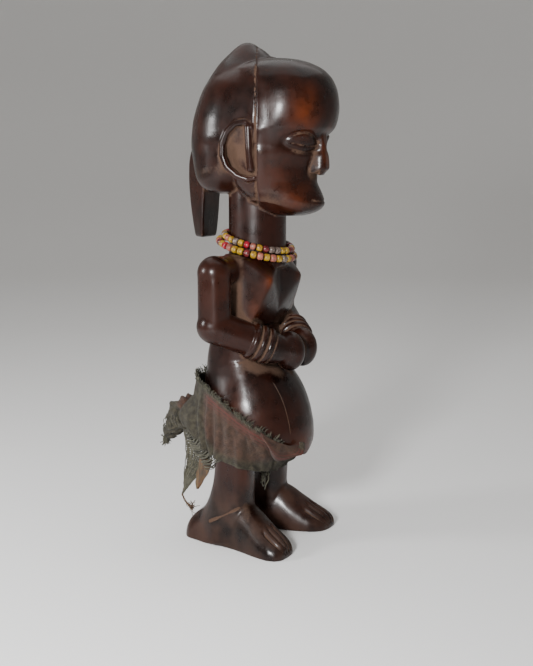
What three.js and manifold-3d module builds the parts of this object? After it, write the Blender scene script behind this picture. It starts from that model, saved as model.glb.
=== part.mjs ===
// A carved wooden fertility figure, 305 mm tall, with two strands of glass
// beads round its neck and a frayed cloth wrap tied low round its hips.
//
// Millimetres. +Z is up, the figure faces -Y and its right hand is on -X.
// The origin is at the middle of the bottom of the whole object.
// The figure is first laid out round the axis of its neck, then moved there.

import * as THREE from 'three';
import { ConvexGeometry } from 'three/addons/geometries/ConvexGeometry.js';
import { LoftGeometry } from 'three/addons/geometries/LoftGeometry.js';
import { mergeVertices } from 'three/addons/utils/BufferGeometryUtils.js';
import Module from 'manifold-3d';

const wasm = await Module();
wasm.setup();

// Driving dimensions of the carving.
const HEIGHT = 305;
const NECK_RADIUS = 17.6;
const ARM_RADIUS = 10;
const SHOULDER_X = 42;
const LEG_RADIUS = 11.8;
const LEG_X = 22;

// Driving dimensions of the two bead strands, which share one tilted axis.
const STRAND_TILT = 14 * Math.PI / 180;
const LOWER_CENTRE = new THREE.Vector3(0, 0.6, 182.4);
const STRAND_SPACING = 4.4;
const LOWER_RING_RADIUS = 23.4;
const UPPER_RING_RADIUS = 21;
const LOWER_BEAD_RADIUS = 2.3;
const UPPER_BEAD_RADIUS = 2.15;
const LOWER_BEAD_COUNT = 36;
const UPPER_BEAD_COUNT = 34;
const BEAD_GAP = 0.3;
const BORE_RADIUS = 0.85;
const STRING_RADIUS = 0.45;

// Driving dimensions of the cloth.
const CLOTH_CLEARANCE = 0.6;
const CLOTH_THICKNESS = 2.2;

const vec = (x, y, z) => new THREE.Vector3(x, y, z);

// ---------------------------------------------------------------- solids

// A closed geometry as a solid that can be joined and cut.
function solid(geometry) {
  const bare = geometry.index ? geometry.toNonIndexed() : geometry.clone();
  bare.deleteAttribute('normal');
  bare.deleteAttribute('uv');
  const merged = mergeVertices(bare, 1e-4);
  return new wasm.Manifold(new wasm.Mesh({
    numProp: 3,
    vertProperties: new Float32Array(merged.attributes.position.array),
    triVerts: new Uint32Array(merged.index.array),
  }));
}

function joined(solids) {
  return solids.reduce((sum, next) => sum.add(next));
}

// A solid back as a geometry for a mesh.
function geometryOf(body) {
  const mesh = body.getMesh();
  const geometry = new THREE.BufferGeometry();
  const points = new Float32Array(mesh.numVert * 3);
  for (let i = 0; i < mesh.numVert; i += 1) {
    points[3 * i] = mesh.vertProperties[mesh.numProp * i];
    points[3 * i + 1] = mesh.vertProperties[mesh.numProp * i + 1];
    points[3 * i + 2] = mesh.vertProperties[mesh.numProp * i + 2];
  }
  geometry.setAttribute('position', new THREE.BufferAttribute(points, 3));
  geometry.setIndex(new THREE.BufferAttribute(new Uint32Array(mesh.triVerts), 1));
  geometry.computeVertexNormals();
  return geometry;
}

// A point at an angle on a superellipse, which is rounder at power 2 and squarer above.
function oval(angle, power) {
  const c = Math.cos(angle);
  const s = Math.sin(angle);
  const bend = 2 / power;
  return [Math.sign(c) * Math.abs(c) ** bend, Math.sign(s) * Math.abs(s) ** bend];
}

// A level section from a station: height, front y, back y, half width, power.
function levelSection([z, front, back, half, power], sides) {
  return Array.from({ length: sides }, (_, i) => {
    const [c, s] = oval(2 * Math.PI * i / sides, power);
    return vec(half * c, (front + back) / 2 + (back - front) / 2 * s, z);
  });
}

// A mass carved round the upright axis, from its lowest station to its highest.
function upright(stations, sides) {
  const sections = stations.map((station) => levelSection(station, sides));
  return solid(new LoftGeometry(sections, { capStart: true, capEnd: true }));
}

// A straight round limb between two points.
function limb(from, to, fromRadius, toRadius, sides) {
  const along = to.clone().sub(from).normalize();
  const side = vec(1, 0, 0).addScaledVector(along, -along.x).normalize();
  const up = along.clone().cross(side);
  const ring = (centre, radius) => Array.from({ length: sides }, (_, i) => {
    const a = 2 * Math.PI * i / sides;
    return centre.clone()
      .addScaledVector(side, radius * Math.cos(a))
      .addScaledVector(up, radius * Math.sin(a));
  });
  const sections = [ring(from, fromRadius), ring(to, toRadius)];
  return solid(new LoftGeometry(sections, { capStart: true, capEnd: true }));
}

// A ball that rounds off the end of a limb.
function ball(centre, radius, sides) {
  return solid(new THREE.SphereGeometry(radius, sides, Math.ceil(sides * 0.55))
    .rotateX(Math.PI / 2).translate(centre.x, centre.y, centre.z));
}

// An ellipsoid at a centre.
function egg(centre, rx, ry, rz, sides) {
  const geometry = new THREE.SphereGeometry(1, sides, Math.round(sides * 0.6));
  geometry.scale(rx, ry, rz).translate(centre.x, centre.y, centre.z);
  return solid(geometry);
}

// The same carving on the figure's other side.
const mirrored = (body) => body.mirror([1, 0, 0]);
const pair = (body) => [body, mirrored(body)];

// ------------------------------------------------------------- the carving

// The face half of the head, from under the chin to the top of the forehead.
const FACE = [
  [202.8, -31, -13, 8, 2],
  [205, -38, -8, 13, 2],
  [210, -43.2, 0, 18, 1.9],
  [216, -41, 5, 21, 1.85],
  [223, -38, 10, 24, 1.85],
  [230, -38.5, 13, 26.5, 1.85],
  [240, -41.5, 15, 28.6, 1.8],
  [249, -43, 14, 29.6, 1.85],
  [254, -48, 13, 30.2, 2],
  [264, -50.6, 11, 30, 2],
  [274, -48, 10, 29.2, 2],
  [283, -41.5, 8, 26, 2],
  [290, -32.5, 6, 20.5, 2],
  [296, -18.5, 3.5, 11, 2],
  [298, -10, -3, 4, 2],
];

// The helmet of hair behind the hairline, rising to a crest.
const HAIR = [
  [216, 8, 25, 19, 2],
  [219, 2, 32, 25.5, 2],
  [225, -6, 37, 29.2, 2],
  [232, -14, 39.3, 30.6, 2],
  [245, -16, 41, 31.4, 2],
  [257, -16, 39.6, 31.2, 2],
  [270, -16, 35.6, 29.4, 2],
  [281, -15.5, 31, 25, 2],
  [290, -13, 26, 18.6, 2],
  [298, -6, 21.5, 10, 2],
  [303, 2, 16.5, 4.6, 2],
  [HEIGHT, 7.5, 13.5, 1.5, 2],
];

// The trunk, from under the hips to the top of the shoulders.
const TRUNK = [
  [54, -18, 20, 25, 2.4],
  [60, -24, 28, 30, 2.3],
  [70, -27, 33.5, 33.5, 2.2],
  [84, -27.5, 34, 33.5, 2.1],
  [96, -22, 33, 30.5, 2.1],
  [106, -17, 31, 28, 2.2],
  [117, -11, 29, 27, 2.4],
  [132, -9, 24.5, 26.5, 2.6],
  [152, -11, 21, 27.8, 2.6],
  [172, -13, 18, 30, 2.4],
  [177, -11.5, 16.5, 30, 2.2],
  [179.4, -8, 13, 27, 2],
];

function head() {
  const nose = new ConvexGeometry([
    vec(-3, -44, 252), vec(3, -44, 252), vec(-3.2, -48.2, 233), vec(3.2, -48.2, 233),
    vec(-5.2, -46.5, 229), vec(5.2, -46.5, 229), vec(-4.6, -41, 226), vec(4.6, -41, 226),
    vec(-5.5, -38, 229), vec(5.5, -38, 229), vec(-5, -38, 248), vec(5, -38, 248),
  ]);
  const lips = new ConvexGeometry([
    vec(-9, -36, 217), vec(9, -36, 217), vec(-5.5, -42.8, 213.5), vec(5.5, -42.8, 213.5),
    vec(-5.5, -42.8, 210), vec(5.5, -42.8, 210), vec(-9, -37, 207), vec(9, -37, 207),
    vec(0, -44.6, 212), vec(0, -36, 220),
  ]);
  const eye = new THREE.SphereGeometry(1, 10, 6).scale(10, 3.2, 4.9)
    .rotateZ(-0.5).translate(-15.2, -35.9, 244.6);
  return [
    upright(FACE, 22),
    upright(HAIR, 22),
    solid(nose),
    solid(lips),
    ...pair(solid(eye)),
    ...pair(ear()),
  ];
}

// One ear: a raised round rib bent like a bow, closed by an upright bar.
function ear() {
  const bow = new THREE.CatmullRomCurve3([
    vec(-29.4, -14, 250.5), vec(-30.2, -9, 253), vec(-30.8, -2, 251), vec(-31, 3, 246),
    vec(-30.9, 4.6, 240), vec(-30.2, 2.5, 233), vec(-28.6, -4, 227.5), vec(-26.4, -13, 225),
  ]);
  const rib = new THREE.Shape();
  rib.absarc(0, 0, 1.9, 0, 2 * Math.PI);
  const bowSolid = solid(new THREE.ExtrudeGeometry(rib, {
    steps: 7, curveSegments: 3, bevelEnabled: false, extrudePath: bow,
  }));
  const bar = limb(vec(-29.4, -13, 251.5), vec(-28.2, -13, 230), 2.3, 2.3, 6);
  return joined([bowSolid, bar]);
}

// The lock of hair that hangs down behind the neck, with a ridge along its back.
function hairLock() {
  const section = (z, inner, back, half) => [
    vec(half, inner, z), vec(half * 0.72, inner + (back - inner) * 0.55, z),
    vec(half * 0.2, back, z), vec(-half * 0.2, back, z),
    vec(-half * 0.72, inner + (back - inner) * 0.55, z), vec(-half, inner, z),
  ];
  return solid(new LoftGeometry([
    section(188.5, 33.5, 43.6, 10.5),
    section(196, 33, 46, 11),
    section(212, 32, 47.8, 11.4),
    section(226, 31, 48.6, 11.4),
    section(246, 28, 45, 10),
  ], { capStart: true, capEnd: true }));
}

function trunk() {
  const neck = new THREE.CylinderGeometry(NECK_RADIUS, NECK_RADIUS, 42, 24)
    .rotateX(Math.PI / 2).translate(0, 0, 193);
  const breast = new ConvexGeometry([
    vec(-29.5, -5, 178), vec(-13, -11, 177.5), vec(-4, -14, 173), vec(-3, -14, 160),
    vec(-19.5, -20.6, 165), vec(-20.2, -19.6, 163), vec(-8, -12, 150), vec(-27.5, -7, 150),
    vec(-29.5, 2, 165),
  ]);
  return [upright(TRUNK, 22), solid(neck), ...pair(solid(breast)), belly()];
}

// The belly swells forward and ends in a V-shaped lower edge.
function belly() {
  return solid(new ConvexGeometry([
    vec(0, -20, 107), vec(-18, -13, 107), vec(18, -13, 107),
    vec(0, -27, 99), vec(-17, -20, 98), vec(17, -20, 98),
    vec(0, -32.5, 84), vec(-17, -26, 84), vec(17, -26, 84), vec(-28, -15, 88), vec(28, -15, 88),
    vec(0, -35.6, 70), vec(-12, -33, 71), vec(12, -33, 71),
    vec(-22, -27, 72), vec(22, -27, 72), vec(-30, -17, 80), vec(30, -17, 80),
    vec(0, -34.5, 59), vec(0, -31, 55.5), vec(-12, -31, 61.5), vec(12, -31, 61.5),
    vec(-20, -27, 67), vec(20, -27, 67), vec(-29, -16, 76), vec(29, -16, 76),
    vec(0, -20, 57),
  ]));
}

// One arm, from the shoulder to the fist on the belly, with its carved rings.
function arm() {
  const shoulder = vec(-SHOULDER_X, 5.5, 170);
  const elbow = vec(-SHOULDER_X + 0.6, 7, 138);
  const wrist = vec(-17, -19, 124);
  const forward = wrist.clone().sub(elbow).normalize();
  const parts = [
    ball(shoulder, ARM_RADIUS, 10),
    limb(shoulder, elbow, ARM_RADIUS, ARM_RADIUS, 10),
    ball(elbow, ARM_RADIUS, 10),
    limb(elbow, wrist, ARM_RADIUS - 0.6, 9, 10),
    limb(wrist, vec(-10, -25.5, 122.4), 9, 8, 8),
    limb(vec(-27, 4, 170.4), shoulder, 8.4, 9.8, 8),
    egg(vec(-8.2, -26.8, 121.6), 8, 9.8, 12, 10),
  ];
  for (const back of [12.5, 8, 3.5]) {
    const centre = wrist.clone().addScaledVector(forward, -back);
    const ring = new THREE.TorusGeometry(9.6, 1.8, 4, 10);
    ring.applyQuaternion(new THREE.Quaternion().setFromUnitVectors(vec(0, 0, 1), forward));
    parts.push(solid(ring.translate(centre.x, centre.y, centre.z)));
  }
  return joined(parts);
}

// One leg and its foot, which is flat underneath and has four toe grooves.
function leg() {
  const shin = [
    [10, -12, 20, 14, 2],
    [18, -8, 20, 12.6, 2],
    [25, -6, 19.5, 12, 2],
    [38, -8, 16.8, LEG_RADIUS, 2],
    [52, -9, 15, LEG_RADIUS, 2],
    [62, -9, 15, LEG_RADIUS, 2],
  ];
  // Foot stations: y, middle x, half width, height.
  const foot = [
    [37.5, -19.5, 6, 9],
    [34, -19.5, 10, 13],
    [27, -19.6, 12, 19],
    [12, -20.5, 12.6, 27],
    [-4, -22.6, 13, 28],
    [-16, -25.4, 13.6, 20.5],
    [-26, -28, 13.6, 13],
    [-33, -29.5, 11.5, 8.5],
    [-36, -30, 7, 5],
  ];
  const sections = foot.map(([y, x, half, top]) => {
    const arch = [[-0.86, 0], [0.86, 0], [1, 0.22], [0.93, 0.52], [0.62, 0.84], [0.2, 1],
      [-0.2, 1], [-0.62, 0.84], [-0.93, 0.52], [-1, 0.22]];
    return arch.map(([across, up]) => vec(x + half * across, y, top * up));
  });
  let body = joined([
    upright(shin, 14).translate([-LEG_X, 0, 0]),
    solid(new LoftGeometry(sections, { capStart: true, capEnd: true })),
  ]);
  for (const across of [-7.6, -2.6, 2.4, 7.2]) {
    const groove = new THREE.BoxGeometry(1.1, 17, 9);
    groove.rotateX(0.5).rotateZ(-0.18).translate(-29.3 + across, -35, 10.5);
    body = body.subtract(solid(groove));
  }
  return body;
}

function carvedFigure() {
  return joined([
    ...head(),
    hairLock(),
    ...trunk(),
    ...pair(arm()),
    ...pair(leg()),
  ]);
}

// ------------------------------------------------------------- the strands

const strandAxis = vec(0, -Math.sin(STRAND_TILT), Math.cos(STRAND_TILT));
const strandForward = vec(0, -Math.cos(STRAND_TILT), -Math.sin(STRAND_TILT));
const upperCentre = LOWER_CENTRE.clone().addScaledVector(strandAxis, STRAND_SPACING);

// A point of a strand: angle round the neck from the front, then outward and upward.
function strandPoint(centre, ring, angle, outward, upward) {
  const side = vec(1, 0, 0);
  return centre.clone()
    .addScaledVector(strandForward, (ring + outward) * Math.cos(angle))
    .addScaledVector(side, (ring + outward) * Math.sin(angle))
    .addScaledVector(strandAxis, upward);
}

// A run of one or more pierced beads, bent to the strand, from one angle to another.
function beadRun(centre, ring, beadRadius, from, to, beads) {
  const sides = 8;
  const waist = beadRadius * 0.7;
  const outline = [];
  for (let i = 0; i < beads; i += 1) {
    outline.push([i / beads, waist], [(i + 0.5) / beads, beadRadius]);
  }
  outline.push([1, waist], [1, BORE_RADIUS]);
  if (beads > 1) outline.push([0.5, BORE_RADIUS]);
  outline.push([0, BORE_RADIUS]);
  const closed = [...outline, outline[0]];
  const profile = closed.map(([along, radius]) => new THREE.Vector2(radius, along));
  const geometry = new THREE.LatheGeometry(profile, sides);
  const points = geometry.attributes.position;
  for (let i = 0; i < points.count; i += 1) {
    const angle = from + (to - from) * points.getY(i);
    const p = strandPoint(centre, ring, angle, points.getX(i), points.getZ(i));
    points.setXYZ(i, p.x, p.y, p.z);
  }
  return geometry;
}

function stringRing(centre, ring) {
  const geometry = new THREE.TorusGeometry(ring, STRING_RADIUS, 5, 40);
  const turn = new THREE.Quaternion().setFromUnitVectors(vec(0, 0, 1), strandAxis);
  return geometry.applyQuaternion(turn).translate(centre.x, centre.y, centre.z);
}

// --------------------------------------------------------------- the cloth

// The hips that the cloth lies on, as an oval at each height of the trunk.
function hipPoint(angle, z, outward) {
  const above = TRUNK.findIndex((station) => station[0] >= z);
  const [z0, f0, b0, h0] = TRUNK[Math.max(above - 1, 0)];
  const [z1, f1, b1, h1] = TRUNK[above];
  const t = THREE.MathUtils.clamp((z - z0) / (z1 - z0 || 1), 0, 1);
  const front = THREE.MathUtils.lerp(f0, f1, t);
  const back = THREE.MathUtils.lerp(b0, b1, t);
  const half = THREE.MathUtils.lerp(h0, h1, t);
  const [c, s] = oval(angle, 2.35);
  return vec((half + outward) * s, (front + back) / 2 - ((back - front) / 2 + outward) * c, z);
}

// Hem heights round the hips: angle in degrees from the front, lower hem, upper hem.
const HEMS = [
  [0, 42.5, 52],
  [22, 44, 56],
  [45, 49, 68],
  [68, 53, 84],
  [90, 55, 96],
  [125, 59, 107],
  [155, 62, 108],
  [180, 63, 108],
  [205, 63, 108],
  [235, 61, 108],
  [270, 54, 97],
  [292, 50, 85],
  [315, 46, 69],
  [338, 43.5, 57],
  [360, 42.5, 52],
];

function hemsAt(degrees) {
  const next = Math.max(HEMS.findIndex((hem) => hem[0] >= degrees), 1);
  const [a0, low0, high0] = HEMS[next - 1];
  const [a1, low1, high1] = HEMS[next];
  const t = (degrees - a0) / (a1 - a0);
  return [THREE.MathUtils.lerp(low0, low1, t), THREE.MathUtils.lerp(high0, high1, t)];
}

function wrapCloth() {
  const steps = 36;
  const sections = [];
  for (let i = 0; i <= steps; i += 1) {
    const degrees = (i % steps) * 360 / steps;
    const angle = degrees * Math.PI / 180;
    const [low, high] = hemsAt(degrees);
    const outer = [];
    const inner = [];
    const behind = Math.max(0, -Math.cos(angle)) ** 2;
    for (let k = 0; k <= 3; k += 1) {
      const z = THREE.MathUtils.lerp(low, high, k / 3);
      const slack = CLOTH_CLEARANCE + 5 * behind * (1 - k / 4);
      const drape = Math.max(z, 70 - 16 * Math.max(0, Math.cos(angle)));
      inner.push(hipPoint(angle, drape, slack).setZ(z));
      outer.push(hipPoint(angle, drape, slack + CLOTH_THICKNESS).setZ(z));
    }
    sections.push([...outer, ...inner.reverse()].reverse());
  }
  const band = solid(new LoftGeometry(sections, {}));
  const pieces = band.subtract(clothBed()).decompose();
  return geometryOf(pieces.reduce((a, b) => (a.volume() > b.volume() ? a : b)));
}

// The hips, belly and thighs, a little larger all round, so that the cloth clears them.
function clothBed() {
  const grown = TRUNK.map(([z, front, back, half, power]) => [
    z, front - CLOTH_CLEARANCE, back + CLOTH_CLEARANCE, half + CLOTH_CLEARANCE, power]);
  const belt = 70;
  const swell = 1 + CLOTH_CLEARANCE / 26;
  const bigBelly = belly().translate([0, 0, -belt]).scale([swell, swell, swell]);
  const thigh = new THREE.CylinderGeometry(LEG_RADIUS + 0.8, LEG_RADIUS + 0.8, 40, 14)
    .rotateX(Math.PI / 2).translate(-LEG_X, 3, 50);
  return joined([upright(grown, 22), bigBelly.translate([0, 0, belt]), ...pair(solid(thigh))]);
}

// A flat piece of cloth or netting: an outline in the upright plane across x, extruded.
function hangingPiece(outline, x, thickness) {
  const shape = new THREE.Shape(outline.map(([y, z]) => new THREE.Vector2(y, z)));
  const geometry = new THREE.ExtrudeGeometry(shape, { depth: thickness, bevelEnabled: false });
  return geometry
    .rotateX(Math.PI / 2)
    .rotateZ(Math.PI / 2)
    .translate(x, 0, 0);
}

// ------------------------------------------------------------ the assembly

const WOOD = { color: '#3b1a10', roughness: 0.34, metalness: 0 };
const STRING = { color: '#6b4a34', roughness: 0.9, metalness: 0 };
const CLOTH = { color: '#59443c', roughness: 0.95, metalness: 0 };
const THREAD = { color: '#5d5c4a', roughness: 0.95, metalness: 0 };
const FIBRE = { color: '#7a5220', roughness: 0.7, metalness: 0 };
const GLASS = {
  ochre: { color: '#c08a12', roughness: 0.25, metalness: 0 },
  red: { color: '#a3122a', roughness: 0.2, metalness: 0 },
  salmon: { color: '#b8665a', roughness: 0.3, metalness: 0 },
  maroon: { color: '#5a1822', roughness: 0.25, metalness: 0 },
  clear: { color: '#8d7468', roughness: 0.2, metalness: 0 },
};
const STRAND_COLOURS = ['ochre', 'maroon', 'ochre', 'salmon', 'red', 'salmon', 'ochre',
  'clear', 'ochre', 'red', 'salmon'];

const assembly = new THREE.Group();

function place(name, geometry, finish) {
  const mesh = new THREE.Mesh(geometry, new THREE.MeshStandardMaterial(finish));
  mesh.name = name;
  assembly.add(mesh);
  return mesh;
}

place('carved_figure', geometryOf(carvedFigure()), WOOD);

// Each strand: single beads round the front and sides, beads in pairs at the nape.
function placeStrand(label, centre, ring, beadRadius, count, pairs) {
  const pitch = 2 * Math.PI / count;
  const gap = BEAD_GAP / ring;
  const singles = count - 2 * pairs;
  let angle = -singles * pitch / 2;
  for (let i = 0; i < singles + pairs; i += 1) {
    const beads = i < singles ? 1 : 2;
    const from = angle + gap / 2;
    const to = angle + beads * pitch - gap / 2;
    const number = String(i + 1).padStart(2, '0');
    const colour = GLASS[STRAND_COLOURS[i % STRAND_COLOURS.length]];
    place(`${label}_bead_${number}`, beadRun(centre, ring, beadRadius, from, to, beads), colour);
    angle += beads * pitch;
  }
  place(`${label}_string`, stringRing(centre, ring), STRING);
}

placeStrand('upper', upperCentre, UPPER_RING_RADIUS, UPPER_BEAD_RADIUS, UPPER_BEAD_COUNT, 8);
placeStrand('lower', LOWER_CENTRE, LOWER_RING_RADIUS, LOWER_BEAD_RADIUS, LOWER_BEAD_COUNT, 10);

place('wrap_cloth', wrapCloth(), CLOTH);

place('knotted_corner', hangingPiece([
  [43, 85], [46.5, 87], [52, 77], [59, 65], [64, 56], [60, 54], [53, 63], [46, 66], [43, 70],
], -16, 7), CLOTH);

place('netted_fringe', hangingPiece([
  [38, 60], [42, 60], [43, 44], [46.5, 31], [45.5, 23], [42, 16], [40.6, 17], [43.5, 24],
  [43, 29], [35, 35], [28, 41], [20, 50], [29, 52], [34, 55],
], -18, 2), THREAD);

place('front_tassel', hangingPiece([
  [-8, 47], [-15, 47], [-12.5, 38], [-5, 29], [-3, 30], [-6.5, 38],
], -7, 3), THREAD);

place('fibre_strip', hangingPiece([
  [22, 50], [29, 50], [31.5, 41], [33.5, 30], [31, 29.5], [26, 38],
], -21, 1), FIBRE);

// The origin goes to the middle of the bottom of the whole object.
const box = new THREE.Box3().setFromObject(assembly);
assembly.position.set(-(box.min.x + box.max.x) / 2, -(box.min.y + box.max.y) / 2, -box.min.z);
assembly.updateMatrixWorld(true);

export default assembly;
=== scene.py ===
# A carved wooden fertility figure with two strands of glass beads round its
# neck and a frayed cloth wrap tied low round its hips.
# Blender works in metres. The figure faces -Y and its right hand is on -X.

import math

import bmesh
import bpy
import numpy as np
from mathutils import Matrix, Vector


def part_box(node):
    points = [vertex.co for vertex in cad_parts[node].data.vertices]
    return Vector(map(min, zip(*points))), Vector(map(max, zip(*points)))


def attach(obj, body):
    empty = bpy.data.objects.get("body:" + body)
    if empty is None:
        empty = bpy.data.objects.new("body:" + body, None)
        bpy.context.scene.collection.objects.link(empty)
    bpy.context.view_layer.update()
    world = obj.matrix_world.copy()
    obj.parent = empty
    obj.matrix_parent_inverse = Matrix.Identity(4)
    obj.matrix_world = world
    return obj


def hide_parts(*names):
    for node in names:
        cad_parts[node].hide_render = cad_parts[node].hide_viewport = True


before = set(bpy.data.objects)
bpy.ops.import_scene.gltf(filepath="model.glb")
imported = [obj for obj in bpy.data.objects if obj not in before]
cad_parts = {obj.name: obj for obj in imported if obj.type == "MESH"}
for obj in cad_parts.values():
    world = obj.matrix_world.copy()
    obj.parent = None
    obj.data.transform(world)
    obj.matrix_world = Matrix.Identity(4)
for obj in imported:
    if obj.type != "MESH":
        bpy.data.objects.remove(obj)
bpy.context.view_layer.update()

# ------------------------------------------- the view, the floor and the light
# A plain pale floor curves up like a wide dish, so that its rim is never seen.
# Everything is laid out in millimetres round the upright axis of the neck.

MM = 0.001
STRAND_MIDDLE = (0, 0.6, 182.4)
CAMERA_PLACE = (-559.76, -310.28, 230)
CAMERA_AIM = (2.67, -4.81, 129.39)
SENSOR_WIDTH, LENS = 36, 56.2
string_low, string_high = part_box("lower_string")
neck_axis = Vector((0, (string_low[1] + string_high[1]) / 2 - STRAND_MIDDLE[1] * MM, 0))
camera_data = bpy.data.cameras.new("camera")
camera_data.sensor_width = SENSOR_WIDTH
camera_data.lens = LENS
camera = bpy.data.objects.new("camera", camera_data)
bpy.context.collection.objects.link(camera)
camera.location = neck_axis + Vector(CAMERA_PLACE) * MM
aim = neck_axis + Vector(CAMERA_AIM) * MM
camera.rotation_euler = (aim - camera.location).to_track_quat("-Z", "Y").to_euler()
bpy.context.scene.camera = camera


def material(name):
    made = bpy.data.materials.new(name)
    made.use_nodes = True
    tree = made.node_tree
    return made, tree, tree.nodes["Principled BSDF"]


def mesh_piece(name, verts, faces, paint, values=None, smooth=True):
    mesh = bpy.data.meshes.new(name)
    mesh.from_pydata([tuple(v) for v in verts], [], faces)
    for label, numbers in (values or {}).items():
        mesh.attributes.new(label, "FLOAT", "POINT").data.foreach_set("value", np.array(numbers, float))
    for one in paint:
        mesh.materials.append(one)
    if smooth:
        mesh.shade_smooth()
    piece = bpy.data.objects.new(name, mesh)
    bpy.context.collection.objects.link(piece)
    return piece


floor_paint, tree, surface = material("floor")
surface.inputs["Base Color"].default_value = (0.84, 0.84, 0.84, 1)
surface.inputs["Roughness"].default_value = 0.9
surface.inputs["Specular IOR Level"].default_value = 0.1
# Each ring of the dish: metres out, metres up.
DISH = [(0.0, 0.0), (0.9, 0.0), (1.5, 0.02), (2.0, 0.16), (2.4, 0.5), (2.6, 1.0), (2.65, 1.8)]
DISH_SIDES = 64
dish, dish_faces = [], []
for ring, (reach, rise) in enumerate(DISH):
    for side in range(DISH_SIDES):
        turn = 2 * math.pi * side / DISH_SIDES
        dish.append((reach * math.cos(turn) + 1e-5, reach * math.sin(turn), rise))
        if ring:
            near, inner, outer = (side + 1) % DISH_SIDES, (ring - 1) * DISH_SIDES, ring * DISH_SIDES
            dish_faces.append((inner + side, outer + side, outer + near, inner + near))
mesh_piece("floor", dish, dish_faces, [floor_paint])

world = bpy.data.worlds.new("studio")
world.use_nodes = True
room = world.node_tree.nodes["Background"].inputs
room["Color"].default_value = (1, 0.965, 0.91, 1)
room["Strength"].default_value = 0.36
bpy.context.scene.world = world
# Each soft light: its name, its place, metres across and watts.
LIGHTS = [
    ("key", (-640, -110, 315), 0.1, 6.8),
    ("window", (-420, 470, 310), 0.13, 2.2),
    ("overhead", (200, 100, 1100), 1.2, 5),
]
for name, place, size, power in LIGHTS:
    light_data = bpy.data.lights.new(name, "AREA")
    light_data.energy = power
    light_data.size = size
    light = bpy.data.objects.new(name, light_data)
    bpy.context.collection.objects.link(light)
    light.location = neck_axis + Vector(place) * MM
    light.rotation_euler = (aim - light.location).to_track_quat("-Z", "Y").to_euler()

# ------------------------------------------------------------ the carving
# The figure is one block of dense hardwood, cut with an adze and a knife and
# rubbed until it shines. Hair, ears, bracelets and toes are all left standing
# in the same block. It is laid out here in millimetres round the neck's axis.

figure_low, figure_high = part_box("carved_figure")
top_of_crest = (figure_high[2] - figure_low[2]) / MM

# Each station of an upright mass: height, front, back, half width, squareness.
FACE = [
    (202.8, -31, -13, 8, 2.0),
    (204.2, -36.5, -9, 12, 2.0),
    (206.6, -41.3, -4, 15.5, 2.0),
    (210.5, -43.4, 1, 18.8, 1.95),
    (216, -41.2, 6, 21.8, 1.9),
    (223, -38.2, 11, 24.6, 1.85),
    (230, -38.3, 14, 27, 1.85),
    (238, -40.6, 15.5, 28.6, 1.85),
    (246, -42.6, 15, 29.8, 1.88),
    (250.5, -45, 14, 30.2, 1.95),
    (254.5, -48.6, 13, 30.5, 2.0),
    (260, -50.6, 12, 30.5, 2.0),
    (266, -51.4, 11, 30.3, 2.0),
    (274, -50.6, 10, 29.4, 2.0),
    (281, -48, 8, 27.4, 2.0),
    (287, -43, 6, 23.8, 2.0),
    (291, -36, 4, 19, 2.0),
    (293.6, -28, 1, 13.4, 2.0),
    (294.8, -19, -3, 7, 2.0),
    (295.2, -13, -8, 2, 2.0),
]
TEMPLES = [
    (213, -20, -4, 19, 2.1),
    (218, -24, 5, 23.5, 2.1),
    (226, -27, 12.5, 27, 2.2),
    (236, -29, 18, 29.6, 2.3),
    (244, -30, 27, 30.8, 2.3),
    (256, -31, 29, 31.2, 2.3),
    (266, -31, 28, 30.6, 2.3),
    (277, -29, 25, 28.2, 2.2),
    (285, -24, 19, 23.4, 2.1),
    (290, -17, 13, 16.4, 2.0),
    (292.6, -10, 7, 9, 2.0),
    (293.4, -5, 2, 2.4, 2.0),
]
HAIR = [
    (215.6, 9, 23, 16, 2.0),
    (217, 4, 29, 22.5, 2.0),
    (220.5, -1, 34, 27, 2.0),
    (226, -7, 37.4, 29.6, 2.0),
    (234, -14, 39.6, 30.8, 2.0),
    (245, -16, 41, 31.6, 2.0),
    (257, -16, 39.8, 31.4, 2.0),
    (269, -16, 36.2, 29.6, 2.0),
    (281, -15, 31, 25, 2.0),
    (290, -14, 26, 18.6, 2.0),
    (294, -10, 22.8, 15, 2.0),
    (298, -6, 18.4, 11.4, 2.0),
    (302, -0.5, 13.6, 7.4, 2.0),
    (304.2, 2.6, 10.4, 4.2, 2.0),
    (top_of_crest, 5, 8.4, 1.6, 2.0),
]
TRUNK = [
    (52, -14, 18, 24, 2.4),
    (60, -24, 28, 30, 2.3),
    (70, -27, 33.5, 33.5, 2.2),
    (84, -27.5, 34, 33.5, 2.1),
    (96, -22, 33, 30.8, 2.1),
    (106, -17, 31.2, 28.2, 2.2),
    (117, -11, 29, 26.8, 2.4),
    (132, -9, 24.5, 26.2, 2.7),
    (152, -11, 21, 27.6, 2.7),
    (168, -12.6, 18.4, 29.6, 2.5),
    (175, -12, 17, 30, 2.3),
    (179.6, -8, 13.5, 27, 2.0),
]
BELLY = [
    (52, -33.2, 10, 24, 2.0),
    (58, -34.4, 14, 29, 2.0),
    (65, -35.2, 20, 32.4, 2.0),
    (72, -35, 26, 34, 2.0),
    (80, -33.6, 28, 34, 2.0),
    (90, -30.6, 28, 32.6, 2.0),
    (99, -26.2, 26, 30, 2.0),
    (107, -19.6, 22, 27, 2.0),
    (113, -12, 18, 24, 2.0),
]
SHIN = [
    (4, -14, 22, 12, 2.2),
    (12, -11, 21.5, 13, 2.3),
    (20, -8.4, 20.4, 12.6, 2.4),
    (30, -7.4, 18.6, 12, 2.5),
    (42, -8, 16.4, 11.9, 2.5),
    (54, -9, 15.2, 12, 2.4),
    (64, -9, 15, 12, 2.2),
]
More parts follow.
